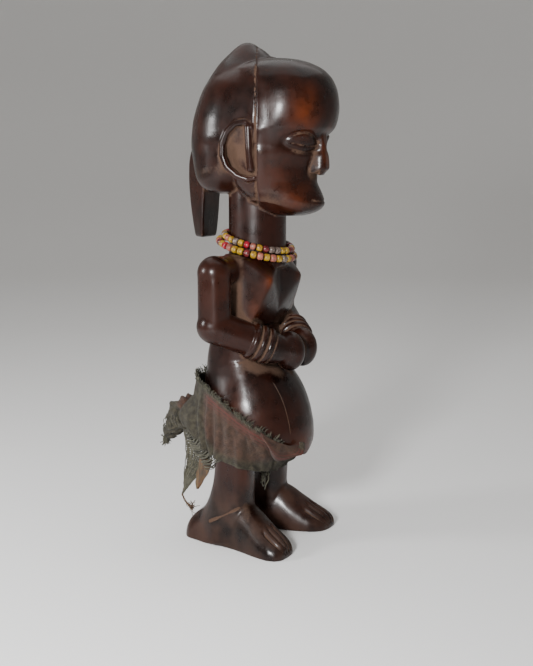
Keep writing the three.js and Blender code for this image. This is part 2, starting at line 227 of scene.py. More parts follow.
# Each station of a foot, from the heel forward: y, middle x, half width, height.
FOOT = [
    (38.6, 19.5, 3, 4),
    (37, 19.5, 8, 9.5),
    (33, 19.5, 10.8, 14.5),
    (24, 19.7, 12.2, 21),
    (12, 20.5, 12.8, 26.5),
    (0, 22, 13, 29),
    (-8, 23.6, 13.3, 26.5),
    (-18, 26, 14, 19.5),
    (-27, 28.2, 13.8, 13.4),
    (-33, 29.4, 11.8, 9.6),
    (-36.4, 30, 8, 6.6),
    (-37.6, 30.2, 3.6, 4),
]


# A track runs smoothly through the stations without swinging past any of them.
def smooth_track(stations):
    table = np.array(sorted(stations), dtype=float)
    at, values = table[:, 0], table[:, 1:]
    step = np.diff(at)[:, None]
    rise = np.diff(values, axis=0) / step
    slope = np.zeros_like(values)
    same_way = rise[:-1] * rise[1:] > 0
    total = np.where(same_way, rise[:-1] + rise[1:], 1)
    slope[1:-1] = np.where(same_way, 2 * rise[:-1] * rise[1:] / total, 0)
    slope[0], slope[-1] = rise[0], rise[-1]
    fine = np.arange(at[0], at[-1] + 0.25, 0.5)
    k = np.clip(np.searchsorted(at, fine, side="right") - 1, 0, len(at) - 2)
    t = ((fine - at[k]) / (at[k + 1] - at[k]))[:, None]
    h = (at[k + 1] - at[k])[:, None]
    smooth = (values[k] * (1 + 2 * t) * (1 - t) ** 2 + values[k + 1] * t * t * (3 - 2 * t)
              + h * slope[k] * t * (1 - t) ** 2 - h * slope[k + 1] * t * t * (1 - t))
    return fine, smooth


# How far points lie outside a mass: ovals stacked up one axis.
def upright_mass(p, track):
    levels, columns = track
    z = np.clip(p[:, 2], levels[0], levels[-1])
    front, back, half, power = (np.interp(z, levels, columns[:, i]) for i in range(4))
    lean = np.abs(np.gradient(columns[:, :3], levels, axis=0)).max(axis=1)
    upright = np.maximum(np.interp(z, levels, 1 / np.sqrt(1 + lean ** 2)), 0.5)
    depth = (back - front) / 2
    x = np.abs(p[:, 0]) / half
    y = np.abs(p[:, 1] - (front + back) / 2) / depth
    size = np.maximum(x ** power + y ** power, 1e-6) ** (1 / power)
    steep = np.hypot(x ** (power - 1) / half, y ** (power - 1) / depth) * size ** (1 - power)
    side = (size - 1) / np.maximum(steep, 0.4 / np.maximum(half, depth))
    ends = np.maximum(levels[0] - p[:, 2], p[:, 2] - levels[-1])
    return np.maximum(side * upright, ends)


def round_bar(p, start, end, start_radius, end_radius):
    start, end = np.array(start, float), np.array(end, float)
    run = end - start
    t = np.clip((p - start) @ run / (run @ run), 0, 1)
    gap = np.linalg.norm(p - start - t[:, None] * run, axis=1)
    return gap - (start_radius + (end_radius - start_radius) * t)


def rope(p, points, radius):
    bars = [round_bar(p, a, b, radius, radius) for a, b in zip(points, points[1:])]
    return np.min(bars, axis=0)


def hoop(p, centre, direction, radius, thickness):
    v = p - np.array(centre)
    height = v @ direction
    across = np.linalg.norm(v - height[:, None] * direction, axis=1)
    return np.hypot(across - radius, height) - thickness


def joined(a, b, softness):
    near = np.maximum(softness - np.abs(a - b), 0) / softness
    return np.minimum(a, b) - near * near * softness / 4


def cut_by(a, b, softness):
    return -joined(-a, -b, softness)


# A block with flat faces and slightly rubbed edges, from its corner points.
def faceted(points, rub):
    hull = bmesh.new()
    for point in points:
        hull.verts.new(point)
    bmesh.ops.convex_hull(hull, input=hull.verts)
    bmesh.ops.recalc_face_normals(hull, faces=hull.faces)
    planes = {}
    for face in hull.faces:
        key = tuple(round(n, 2) for n in face.normal)
        planes[key] = (tuple(face.normal), face.normal.dot(face.verts[0].co))
    hull.free()
    normals = np.array([n for n, _ in planes.values()])
    offsets = np.array([d for _, d in planes.values()])

    def distance(p):
        over = p @ normals.T - offsets
        highest = over.max(axis=1)
        spread = np.exp((over - highest[:, None]) / rub).sum(axis=1)
        return highest + rub * np.log(spread)
    return distance


def ease(value, start, end):
    t = np.clip((value - start) / (end - start), 0, 1)
    return t * t * (3 - 2 * t)


def line_at(value, width):
    return np.exp(-(value / width) ** 2)


face_track = smooth_track(FACE)
temple_track = smooth_track(TEMPLES)
hair_track = smooth_track(HAIR)
trunk_track = smooth_track(TRUNK)
belly_track = smooth_track(BELLY)
shin_track = smooth_track(SHIN)
foot_track = smooth_track(FOOT)

nose_block = faceted([
    (-3.1, -44.6, 253), (3.1, -44.6, 253), (-3.2, -47.4, 233), (3.2, -47.4, 233),
    (-3.4, -47.2, 230.2), (3.4, -47.2, 230.2), (-5.4, -44.8, 228.8), (5.4, -44.8, 228.8),
    (-4.4, -43.4, 226.4), (4.4, -43.4, 226.4), (-6, -38, 228), (6, -38, 228),
    (-4.6, -38, 252), (4.6, -38, 252),
], 0.35)
lip_block = faceted([
    (-10, -35, 220), (10, -35, 220), (-5.5, -43, 214), (5.5, -43, 214), (0, -44.9, 212.4),
    (-5.5, -43.2, 209.5), (5.5, -43.2, 209.5), (0, -44.6, 209), (-10, -36, 206),
    (10, -36, 206), (0, -38.8, 224.4), (-4, -37.6, 224.4), (4, -37.6, 224.4),
], 0.7)
breast_block = faceted([
    (29.5, -4, 179), (13, -11, 178), (-4, -13.6, 176), (-6, -14.2, 160), (19.5, -21.4, 165.4),
    (20.2, -20.6, 163), (-6, -12, 137), (27.2, -7, 134), (28.4, 2, 134), (29.8, 3, 165),
], 0.45)
lock_block = faceted([
    (-11.6, 31, 232), (11.6, 31, 232), (-11, 32.8, 200), (11, 32.8, 200),
    (-10.4, 34.2, 188.2), (10.4, 34.2, 188.2), (-2.6, 44, 188.2), (2.6, 44, 188.2),
    (-2, 47.4, 203), (2, 47.4, 203), (-2, 49.4, 222), (2, 49.4, 222),
    (-2.4, 48.6, 237), (2.4, 48.6, 237), (-10, 30, 252), (10, 30, 252), (0, 42, 256),
], 0.6)

shoulder = np.array([42, 5.5, 170.2])
elbow = np.array([40.8, 6.6, 138.4])
wrist = np.array([17, -19, 124])
forearm = (wrist - elbow) / np.linalg.norm(wrist - elbow)
# The lower strand of beads has worn a shallow channel in the shoulders.
TILT = math.radians(14)
strand_lean = np.array([0, -math.sin(TILT), math.cos(TILT)])
STRAND_RING, STRAND_CHANNEL = 23.4, 2.5
ankle_crease = [(27.5, -9, 28.6), (31.5, -5.6, 26.4), (34.6, 1, 22.8), (35.6, 8, 19), (35, 15, 15.4)]
ear_bow = [
    (30.6, -13.6, 253.8), (31.2, -9.4, 257), (31.6, -3.4, 256.2), (31.8, 2.2, 251.4),
    (31.9, 5.2, 244.4), (31.7, 5.4, 238), (31, 3, 231.6), (29.4, -2.6, 226.6), (27.6, -8.6, 224.4),
    (26.8, -13, 225.2),
]
ear_bar = [(31, -11.6, 254), (30.9, -12, 242), (29.4, -12.2, 230.6)]


# The hair starts in a flat cut, square across the cheek and further back at the crown.
def hairline(x, z):
    return -15.4 + 0.52 * (30 - x) - 1.2 * ease(-z, -225, -208)


def head(p):
    x, y, z = p.T
    face = upright_mass(p, face_track)
    face = joined(face, upright_mass(p, temple_track), 7)
    face = joined(face, lip_block(p), 2.2)
    face = joined(face, nose_block(p), 0.9)
    hair = joined(upright_mass(p, hair_track), lock_block(p), 0.8)
    skull = joined(face, hair, 0.5 + 9 * ease(z, 236, 250) * ease(-z, -291, -276))

    # Brow, eye socket and almond lid, in a plane that follows the cheek.
    cheek = np.array([0.875, 0.485])
    u = (x - 14.2) * cheek[0] + (y + 38.4) * cheek[1]
    v = z - 245.4 + 0.008 * u * u - 0.12 * u
    facing = ease(-y, 24, 30)
    lid = np.sqrt((np.abs(u) / 10.8) ** 1.7 + (np.abs(v) / 5.1) ** 1.9)
    socket = line_at(lid - 1.14, 0.17) * facing
    bulge = np.sqrt(np.clip(1 - lid ** 2, 0, 1)) * facing
    slit = line_at(v + 1.5 - 0.016 * u * u, 0.5) * ease(1.05 - lid, 0, 0.25) * facing
    skull = skull + 0.9 * socket - 1.3 * bulge + 0.8 * slit

    # Mouth, nostril hollows, hairline and the hollow of the ear.
    mouth = line_at(z - 211.6 - 0.03 * x, 0.5) * ease(9.6 - x, 0, 3) * ease(-y, 30, 36)
    nostril = line_at(np.hypot(x - 3.6, z - 228.4), 1.3) * ease(-y, 38, 42)
    skull = skull + 0.7 * mouth + 1.2 * nostril
    past_line = y - hairline(x, z)
    on_side = ease(z, 203, 206) * ease(z - x, 180, 190)
    skull = skull + on_side * (0.7 * line_at(past_line, 0.6) - 0.4 * ease(-past_line, -0.2, 0.6)
                               * ease(past_line, -9, -2))
    bow_hollow = np.hypot((y + 12) / 18, (z - 240.8) / 17)
    skull = skull + 1.6 * ease(1 - bow_hollow, 0, 0.2) * ease(y, -14, -12) * ease(x, 20, 24)
    ear = np.minimum(rope(p - (0.5, 0, 0), ear_bow, 1.9), rope(p - (0.6, 0, 0), ear_bar, 2.3))
    return joined(skull, ear, 0.5)


def body(p):
    x, y, z = p.T
    neck = np.hypot(x, y) - 17.6 - 1.2 * ease(-z, -181, -174)
    neck = np.maximum(neck, np.maximum(z - 230, 172 - z))
    trunk = upright_mass(p, trunk_track)
    collar = round_bar(p, (22, 4, 170.4), shoulder, 8.8, 9.9)
    trunk = joined(trunk, collar, 4)
    trunk = joined(trunk, breast_block(p), 1.4)
    trunk = joined(trunk, neck, 1.6)
    lip_edge = (54.6 + 0.56 * np.sqrt(x * x + 4) - z) * 0.87
    swell = cut_by(upright_mass(p, belly_track), lip_edge, 1.6)
    return joined(trunk, swell, 3)


def arm(p):
    upper = round_bar(p, shoulder, elbow, 10, 9.7)
    ridge = line_at(np.arctan2(p[:, 1] - 6, p[:, 0] - 42) + 0.6, 0.32) * 0.9 * ease(-p[:, 2], -172, -162)
    lower = round_bar(p, elbow + (0.4, 0, 0), wrist, 10.4, 9.3)
    hand = np.sqrt(((p[:, 0] - 8.3) / 7.9) ** 2 + ((p[:, 1] + 26.6) / 9.9) ** 2
                   + ((p[:, 2] - 121.6) / 12) ** 2) - 1
    whole = joined(upper - ridge, lower, 0.6)
    whole = joined(whole, hand * 8.5, 1.0)
    whole = joined(whole, round_bar(p, wrist, (10, -25, 122.6), 8.6, 8), 1.5)
    for back in (13.2, 8.4, 3.6):
        whole = joined(whole, hoop(p, wrist - forearm * back, forearm, 9.5, 1.95), 0.5)
    cuff = hoop(p, wrist + forearm * 0.2, forearm, 8.9, 1.1)
    return joined(whole, cuff, 0.5)


def leg(p):
    x, y, z = p.T
    shin = upright_mass(p - (22, 0, 0), shin_track)
    places, columns = foot_track
    along = np.clip(y, places[0], places[-1])
    middle, half, top = (np.interp(along, places, columns[:, i]) for i in range(3))
    across = (x - middle) / half
    size = (np.abs(across) ** 2.3 + np.abs(np.maximum(z, 0) / top) ** 2.3 + 1e-6) ** (1 / 2.3)
    foot = (size - 1) * np.minimum(half, top) * 0.9
    foot = np.maximum(foot, np.maximum(places[0] - y, y - places[-1]))
    for place in (-0.55, -0.2, 0.15, 0.5):
        bend = place * (1 + 0.1 * ease(-y, 20, 36))
        groove = line_at((across - bend) * half, 0.9) * ease(-y, 21, 24) * ease(z, 1.5, 4)
        foot = foot + 1.9 * groove
    whole = joined(shin, foot, 0.8 + 8 * ease(y, 0, 14))
    whole = cut_by(whole, -rope(p, ankle_crease, 0.75), 0.5)
    return cut_by(whole, -z, 0.8)


# How far points lie outside the whole carving, which is alike on both sides.
def carving(p):
    p = p * (1, 1, 1)
    p[:, 0] = np.abs(p[:, 0])
    result = np.full(len(p), 20.0)
    for shape, low, high, softness in (
            (body, 44, 222, 1.2), (head, 184, 312, 0.6), (arm, 100, 188, 0.7), (leg, -6, 72, 1.0)):
        near = (p[:, 2] > low) & (p[:, 2] < high)
        result[near] = joined(result[near], shape(p[near]), softness)
    near = (p[:, 2] > 168) & (p[:, 2] < 196)
    worn = -hoop(p[near], STRAND_MIDDLE, strand_lean, STRAND_RING, STRAND_CHANNEL)
    result[near] = cut_by(result[near], worn, 0.6)
    return result


# The skin of the carving: one point in each small cell that the surface crosses,
# pulled onto the surface, with faces between neighbouring cells.
def carved_skin(cell, low, high):
    counts = np.ceil((high - low) / cell).astype(int) + 1
    counts += (-counts) % 4
    coarse_axes = [low[i] + cell * np.arange(0, counts[i] + 1, 4) for i in range(3)]
    coarse = np.stack(np.meshgrid(*coarse_axes, indexing="ij"), -1)
    coarse_value = carving(coarse.reshape(-1, 3)).reshape(coarse.shape[:3])
    value = np.repeat(np.repeat(np.repeat(coarse_value[:-1, :-1, :-1], 4, 0), 4, 1), 4, 2)
    near = np.abs(value) < 4 * cell * 2.4
    spots = np.argwhere(near)
    value[near] = carving(low + cell * spots)
    inside = value < 0
    corners = [(i, j, k) for i in (0, 1) for j in (0, 1) for k in (0, 1)]
    size = np.array(value.shape) - 1

    def corner(array, c):
        return array[c[0]:c[0] + size[0], c[1]:c[1] + size[1], c[2]:c[2] + size[2]]
    count = sum(corner(inside, c).astype(np.int8) for c in corners)
    crossed = np.argwhere((count > 0) & (count < 8))
    number = np.full(tuple(size), -1, dtype=np.int64)
    number[tuple(crossed.T)] = np.arange(len(crossed))
    total = np.zeros((len(crossed), 3))
    weight = np.zeros(len(crossed))
    for a in corners:
        for axis in range(3):
            if a[axis]:
                continue
            b = list(a)
            b[axis] = 1
            va = value[tuple((crossed + a).T)]
            vb = value[tuple((crossed + b).T)]
            cuts = (va < 0) != (vb < 0)
            t = np.where(cuts, va / np.where(cuts, va - vb, 1), 0)
            point = np.array(a) + t[:, None] * (np.array(b) - a)
            total += np.where(cuts[:, None], point, 0)
            weight += cuts
    points = low + cell * (crossed + total / weight[:, None])
    faces = []
    for axis in range(3):
        one, two = (axis + 1) % 3, (axis + 2) % 3
        step = np.zeros(3, dtype=int)
        step[axis] = 1
        a = inside[:-1, :-1, :-1]
        b = inside[step[0]:, step[1]:, step[2]:][:a.shape[0], :a.shape[1], :a.shape[2]]
        edges = np.argwhere(a != b)
        edges = edges[(edges[:, one] > 0) & (edges[:, two] > 0)]
        leaving = a[tuple(edges.T)]
        e1, e2 = np.zeros(3, dtype=int), np.zeros(3, dtype=int)
        e1[one], e2[two] = 1, 1
        quad = [number[tuple((edges - s).T)] for s in (0 * e1, e1, e1 + e2, e2)]
        quad = np.stack(quad, 1)
        faces.append(np.where(leaving[:, None], quad, quad[:, ::-1]))
    return points, np.concatenate(faces)


def outward(p, reach):
    slope = np.zeros_like(p)
    for axis in range(3):
        step = np.zeros(3)
        step[axis] = reach
        slope[:, axis] = (carving(p + step) - carving(p - step)) / (2 * reach)
    return slope


SKIN_CELL = 0.9
SKIN_MARGIN = 4.0
REACH_LOW, REACH_HIGH = np.array([-52, -51.6, 0]), np.array([52, 50, top_of_crest])
points, faces = carved_skin(SKIN_CELL, REACH_LOW - SKIN_MARGIN, REACH_HIGH + SKIN_MARGIN)
for _ in range(2):
    slope = outward(points, 0.15)
    reach = carving(points)[:, None] / np.maximum((slope ** 2).sum(1), 0.2)[:, None]
    points = points - np.clip(reach * slope, -0.6, 0.6)
normal = outward(points, 0.3)
normal /= np.linalg.norm(normal, axis=1)[:, None]

# Dust lies wherever the wood is hollow, and hands have rubbed whatever stands out.
hollow = np.zeros(len(points))
for reach, share in ((1.2, 0.4), (2.8, 0.4), (7.0, 0.45)):
    hollow += share * np.clip(1 - carving(points + normal * reach) / reach, 0, 1)


one_side = np.abs(points * (1, 0, 0)) + points * (0, 1, 1)


def patch(centre, radius):
    return np.exp(-(((one_side - centre) / radius) ** 2).sum(1))


# Each place on the +X half, mirrored on the other: its centre, its reach along
# x, y and z, and its strength.
DUSTY_PLACES = [
    ((28.5, -2, 158), (4, 8, 24), 0.5), ((22, -10, 112), (14, 12, 4), 0.3),
    ((30, -2, 240), (3, 13, 14), 0.6), ((8, -34, 128), (6, 6, 9), 0.2),
    ((18, -37, 239), (9, 6, 3), 0.35), ((6, -43, 234), (2.6, 4, 10), 0.5),
    ((28, -6, 258), (8, 10, 6), 0.15), ((0, -22, 199), (40, 20, 5), -0.6),
    ((0, 6, 296), (30, 30, 7), -0.4), ((20, -12, 29), (7, 7, 7), -0.5),
]
RUBBED_PLACES = [
    ((20, -42, 262), (8, 8, 12), 0.75), ((16, -36, 213), (12, 9, 8), 0.4),
    ((24, -26, 226), (10, 12, 14), 0.2), ((0, -48, 239), (3.5, 4, 13), 0.9),
    ((20, -21, 165), (4, 4, 5), 0.8), ((23, -11, 147), (6, 8, 14), 0.4),
    ((0, -36, 62), (20, 6, 9), 0.5), ((33, -8, 90), (6, 20, 16), 0.18),
    ((22, -10, 46), (14, 5, 14), 0.3), ((43, 0, 160), (10, 10, 20), 0.12),
]
dusty = 1.1 * hollow
for centre, radius, share in DUSTY_PLACES:
    dusty += share * patch(centre, radius)
dusty += 0.8 * ease(1.3 - rope(one_side, ankle_crease, 0), 0, 0.8)
rubbed = np.zeros(len(points))
for centre, radius, share in RUBBED_PLACES:
    rubbed += share * patch(centre, radius)
chipped = patch((26, 32, 262), (10, 9, 12))
points[:, 2] = np.clip(points[:, 2], 0, top_of_crest)


# Each of these small helpers adds one step to a finish.
def node(tree, kind, values=None, **settings):
    made = tree.nodes.new("ShaderNode" + kind)
    for key, value in settings.items():
        setattr(made, key, value)
    for key, value in (values or {}).items():
        if isinstance(value, bpy.types.NodeSocket):
            tree.links.new(value, made.inputs[key])
        else:
            made.inputs[key].default_value = value
    return made


def maths(tree, operation, first, second=0.0):
    return node(tree, "Math", {0: first, 1: second}, operation=operation).outputs[0]


def times(tree, first, second):
    return maths(tree, "MULTIPLY", first, second)


def plus(tree, first, second):
    return maths(tree, "ADD", first, second)


def blended(tree, share, first, second):
    return node(tree, "Mix", {0: share, 6: first, 7: second}, data_type="RGBA").outputs[2]


def mask(tree, value, start, end, lowest=0.0, highest=1.0):
    values = {0: value, 1: start, 2: end, 3: lowest, 4: highest}
    return node(tree, "MapRange", values, interpolation_type="SMOOTHSTEP").outputs[0]


def cloud(tree, position, scale, detail=3.0, stretch=(1, 1, 1)):
    stretched = node(tree, "Mapping", {"Vector": position, "Scale": stretch}).outputs[0]
    values = {"Vector": stretched, "Scale": scale, "Detail": detail}
    return node(tree, "TexNoise", values).outputs[0]


def attribute(tree, name):
    return node(tree, "Attribute", attribute_name=name).outputs["Fac"]


def effect(name, inputs, outputs):
    tree = bpy.data.node_groups.new(name, "ShaderNodeTree")
    for label, kind in inputs:
        tree.interface.new_socket(label, in_out="INPUT", socket_type="NodeSocket" + kind)
    for label, kind in outputs:
        tree.interface.new_socket(label, in_out="OUTPUT", socket_type="NodeSocket" + kind)
    return tree, tree.nodes.new("NodeGroupInput").outputs, tree.nodes.new("NodeGroupOutput").inputs


# Heights are in millimetres everywhere.
def raised(tree, surface, height, strength=1.0):
    bump = node(tree, "Bump", {"Strength": strength, "Distance": MM, "Height": height})
    tree.links.new(bump.outputs[0], surface.inputs["Normal"])


def link(tree, value, surface, label):
    tree.links.new(value, surface.inputs[label])


# Dust: caught in hollows, broken up into specks at its edge.
dust_tree, given, made = effect(
    "dust", [("Position", "Vector"), ("Hollow", "Float"), ("Speck", "Float")], [("Mask", "Float")])
specks = cloud(dust_tree, given["Position"], 900.0, 4.0)
drifts = cloud(dust_tree, given["Position"], 130.0, 3.0)
broken = plus(dust_tree, times(dust_tree, specks, given["Speck"]), drifts)
amount = plus(dust_tree, given["Hollow"], times(dust_tree, broken, 0.42))
dust_tree.links.new(mask(dust_tree, amount, 0.72, 1.12), made["Mask"])

# Grain: streaks of pores that run up the block.
grain_tree, given, made = effect(
    "grain", [("Position", "Vector")], [("Tone", "Float"), ("Height", "Float")])
streaks = cloud(grain_tree, given["Position"], 420.0, 4.0, (1, 1, 0.07))
pores = cloud(grain_tree, given["Position"], 1500.0, 2.0, (1, 1, 0.05))
grain_tree.links.new(streaks, made["Tone"])
pore_depth = mask(grain_tree, pores, 0.28, 0.45, -0.012, 0.0)
streak_depth = times(grain_tree, streaks, 0.02)
grain_tree.links.new(plus(grain_tree, pore_depth, streak_depth), made["Height"])

wood, tree, surface = material("wood")
position = node(tree, "TexCoord").outputs["Object"]
grain = node(tree, "Group", {"Position": position}, node_tree=grain_tree).outputs
dust = node(tree, "Group", {"Position": position, "Hollow": attribute(tree, "dusty"), "Speck": 0.7},
            node_tree=dust_tree).outputs["Mask"]
patches = cloud(tree, position, 26.0, 2.0)
blotches = cloud(tree, position, 95.0, 3.0)
place = node(tree, "SeparateXYZ", {0: position}).outputs
trodden = times(tree, mask(tree, place["Z"], 22 * MM, 50 * MM, 1.0, 0.0),
                mask(tree, blotches, 0.3, 0.7, 0.02, 0.3))
dust = maths(tree, "MAXIMUM", dust, trodden)
tone = mask(tree, plus(tree, patches, times(tree, blotches, 0.6)), 0.55, 1.02)
colour = blended(tree, tone, (0.0035, 0.0012, 0.0008, 1), (0.022, 0.0046, 0.0018, 1))
colour = blended(tree, times(tree, grain["Tone"], 0.45), colour, (0.0045, 0.0018, 0.0014, 1))
handled = times(tree, attribute(tree, "rubbed"), mask(tree, blotches, 0.32, 0.62, 0.35, 1.0))
colour = blended(tree, handled, colour, (0.1, 0.0195, 0.0032, 1))
colour = blended(tree, times(tree, dust, 0.82), colour, (0.082, 0.047, 0.031, 1))

# One fine crack runs down the belly, and the scalp is chipped behind the ear.
wander = times(tree, maths(tree, "SUBTRACT", cloud(tree, position, 60.0), 0.5), 1.6 * MM)
CRACK_X, CRACK_LOW, CRACK_TOP, CRACK_WIDTH = -16 * MM, 71 * MM, 104 * MM, 0.3 * MM
aside = maths(tree, "ABSOLUTE", maths(tree, "SUBTRACT", plus(tree, place["X"], wander), CRACK_X))
across = mask(tree, aside, 0.3 * CRACK_WIDTH, CRACK_WIDTH, 1.0, 0.0)
lengthwise = times(tree, mask(tree, place["Z"], CRACK_LOW, CRACK_LOW + 3 * MM),
                   mask(tree, place["Z"], CRACK_TOP - 3 * MM, CRACK_TOP, 1.0, 0.0))
crack = times(tree, times(tree, across, lengthwise),
              mask(tree, place["Y"], -18 * MM, -14 * MM, 1.0, 0.0))
colour = blended(tree, times(tree, crack, 0.6), colour, (0.11, 0.06, 0.036, 1))
link(tree, colour, surface, "Base Color")

knife = cloud(tree, position, 85.0, 1.0, (1, 1, 0.6))
dents = cloud(tree, position, 260.0, 2.0)
height = times(tree, knife, 0.6)
height = plus(tree, height, times(tree, dents, 0.07))
chips = mask(tree, cloud(tree, position, 420.0, 3.0, (1, 1, 0.5)), 0.5, 0.62, 0.0, -0.28)
height = plus(tree, height, times(tree, chips, attribute(tree, "chipped")))
height = plus(tree, height, grain["Height"])
height = plus(tree, height, times(tree, crack, -0.25))
dust_relief = times(tree, cloud(tree, position, 1400.0, 3.0), dust)
raised(tree, surface, plus(tree, height, times(tree, dust_relief, 0.2)))
polish = plus(tree, mask(tree, blotches, 0.3, 0.7, 0.2, 0.33),
              times(tree, grain["Tone"], 0.1))
dull = node(tree, "Mix", {0: dust, 2: polish, 3: 0.85}, data_type="FLOAT").outputs[0]
link(tree, dull, surface, "Roughness")
link(tree, mask(tree, dust, 0.05, 0.6, 0.16, 0.0), surface, "Coat Weight")
surface.inputs["Coat Roughness"].default_value = 0.16
surface.inputs["Specular IOR Level"].default_value = 0.2


# Every piece that rides on the figure is laid out in millimetres round the neck.
def figure_piece(name, places, faces, paint, values=None):
    piece = mesh_piece(name, places * MM + np.array(neck_axis), faces, [paint], values)
    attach(piece, "figure")
    return piece


figure = figure_piece("figure", points, faces.tolist(), wood,
                      {"dusty": dusty, "rubbed": rubbed, "chipped": chipped})
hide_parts("carved_figure")

# ------------------------------------------------- the two strands of beads
# Small drawn-glass beads, slightly uneven, threaded on a twisted two-ply cord.
# Both strands lie tilted round the neck, one on top of the other.

strand_axis = Vector(strand_lean)
strand_front = Vector((0, -math.cos(TILT), -math.sin(TILT)))
strand_side = Vector((1, 0, 0))
lower_centre = neck_axis + Vector(STRAND_MIDDLE) * MM
STRAND_GAP = 4.4
upper_centre = lower_centre + strand_axis * STRAND_GAP * MM


def strand_point(centre, ring, turn, out=0.0, up=0.0):
    flat = strand_front * math.cos(turn) + strand_side * math.sin(turn)
    return centre + flat * (ring + out) + strand_axis * up


glass_tree, given, made = effect(
    "glass_flaws", [("Position", "Vector")], [("Specks", "Float"), ("Clouds", "Float"), ("Height", "Float")])
grit = cloud(glass_tree, given["Position"], 2600.0, 2.0)
milk = cloud(glass_tree, given["Position"], 500.0, 3.0)
glass_tree.links.new(mask(glass_tree, grit, 0.62, 0.7), made["Specks"])
glass_tree.links.new(milk, made["Clouds"])
glass_tree.links.new(times(glass_tree, cloud(glass_tree, given["Position"], 800.0), 0.06),
                     made["Height"])


# Bead glass: an even colour clouded by age, with dirt round the holes.
def bead_glass(name, light, dark, clear, roughness):
    made, tree, surface = material(name)
    position = node(tree, "TexCoord").outputs["Object"]
    flaws = node(tree, "Group", {"Position": position}, node_tree=glass_tree).outputs
    colour = blended(tree, mask(tree, flaws["Clouds"], 0.35, 0.65), light, dark)
    colour = blended(tree, times(tree, flaws["Specks"], 0.6), colour, (0.02, 0.012, 0.01, 1))
    dirt = node(tree, "Group", {"Position": position, "Hollow": attribute(tree, "dusty"), "Speck": 0.5},
                node_tree=dust_tree).outputs["Mask"]
    colour = blended(tree, times(tree, dirt, 0.85), colour, (0.045, 0.026, 0.018, 1))
    link(tree, colour, surface, "Base Color")
    rough = node(tree, "Mix", {0: dirt, 2: roughness, 3: 0.8}, data_type="FLOAT").outputs[0]
    link(tree, rough, surface, "Roughness")
    surface.inputs["Transmission Weight"].default_value = clear
    surface.inputs["IOR"].default_value = 1.5
    raised(tree, surface, flaws["Height"])
    return made


bead_colours = {
    "ochre_glass": bead_glass("ochre_glass", (0.36, 0.225, 0.014, 1), (0.2, 0.105, 0.009, 1), 0.0, 0.24),
    "red_glass": bead_glass("red_glass", (0.36, 0.006, 0.022, 1), (0.17, 0.003, 0.012, 1), 0.1, 0.12),
    "salmon_glass": bead_glass("salmon_glass", (0.3, 0.098, 0.068, 1), (0.16, 0.05, 0.035, 1), 0.0, 0.35),
    "maroon_glass": bead_glass("maroon_glass", (0.14, 0.018, 0.02, 1), (0.06, 0.01, 0.012, 1), 0.05, 0.2),
    "clear_glass": bead_glass("clear_glass", (0.25, 0.19, 0.16, 1), (0.12, 0.085, 0.07, 1), 0.35, 0.22),
}


BEAD_HOLE, BEAD_SIDES, BEAD_STEPS = 0.85 * MM, 20, 12


def bead_shape(centre, along, out, radius, length, chance):
    across = along.cross(out).normalized()
    hole, sides = BEAD_HOLE, BEAD_SIDES
    radius = radius * (1 - 0.05 * chance.random())
    half = length / 2 * (1 - 0.06 * chance.random())
    square = chance.uniform(0.62, 0.85)
    lean = chance.uniform(-0.06, 0.06)
    rows = []
    for step in range(BEAD_STEPS + 1):
        turn = math.pi * step / BEAD_STEPS
        reach = hole + (radius - hole) * math.sin(turn) ** square
        rows.append((reach, -half * math.copysign(abs(math.cos(turn)) ** square, math.cos(turn))))
    rows.append((hole, half * 0.4))
    rows.append((hole, -half * 0.4))
    verts, dirt = [], []
    for row, (reach, shift) in enumerate(rows):
        for side in range(sides):
            turn = 2 * math.pi * side / sides
            flat = out * math.cos(turn) + across * math.sin(turn)
            verts.append(centre + flat * reach + along * (shift + lean * reach * math.cos(turn)))
            dirt.append(0.75 if row > BEAD_STEPS else 0.62 * (1 - (reach - hole) / (radius - hole)) ** 0.7)
    faces = []
    for row in range(len(rows)):
        below = (row + 1) % len(rows)
        for side in range(sides):
            near = (side + 1) % sides
            faces.append((row * sides + side, row * sides + near,
                          below * sides + near, below * sides + side))
    return verts, faces, dirt


# Radii are in millimetres. The single beads come first, and the rest go two to a piece.
UPPER_RING = 21
UPPER_BEAD, LOWER_BEAD = 2.15, 2.3
UPPER_COUNT, LOWER_COUNT = 34, 36
UPPER_SINGLES, LOWER_SINGLES = 18, 16
# The order of colours, from just left of the nape round to the front and on.
FIRST_OF_RUN = 28
UPPER_RUN = "ochre clear ochre salmon ochre clear ochre red salmon ochre maroon clear clear ochre".split()
UPPER_REST = "clear ochre red salmon ochre maroon salmon ochre clear red".split()
LOWER_RUN = "ochre salmon maroon ochre red salmon ochre ochre maroon ochre salmon ochre salmon".split()
LOWER_REST = "ochre red ochre clear ochre salmon maroon ochre salmon red ochre".split()


def strand(name, centre, ring, bead_radius, count, singles, first_run, run, rest):
    chance = np.random.default_rng(count)
    pitch = 2 * math.pi / count
    start = -singles * pitch / 2
    length = pitch * ring - 0.3 * MM
    together = {}
    for bead in range(count):
        number = bead + 1 if bead < singles else singles + (bead - singles) // 2 + 1
        together.setdefault(number, []).append(bead)
    for number, beads in together.items():
        verts, faces, dirt, paint, kinds = [], [], [], [], []
        for bead in beads:
            place = (bead - first_run) % count
            word = run[place] if place < len(run) else rest[place % len(rest)]
            turn = start + (bead + 0.5) * pitch
            middle = strand_point(centre, ring, turn)
            out = (middle - centre).normalized()
            along = strand_axis.cross(out)
            more, their_faces, their_dirt = bead_shape(middle, along, out, bead_radius, length, chance)
            faces += [tuple(corner + len(verts) for corner in face) for face in their_faces]
            kinds += [len(paint)] * len(their_faces)
            verts += more
            dirt += their_dirt
            paint.append(bead_colours[word + "_glass"])
        piece = mesh_piece(f"{name}_glass_{number:02d}", verts, faces, paint, {"dusty": dirt})
        piece.data.polygons.foreach_set("material_index", kinds)
        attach(piece, name + "_strand")
        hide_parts(f"{name}_bead_{number:02d}")


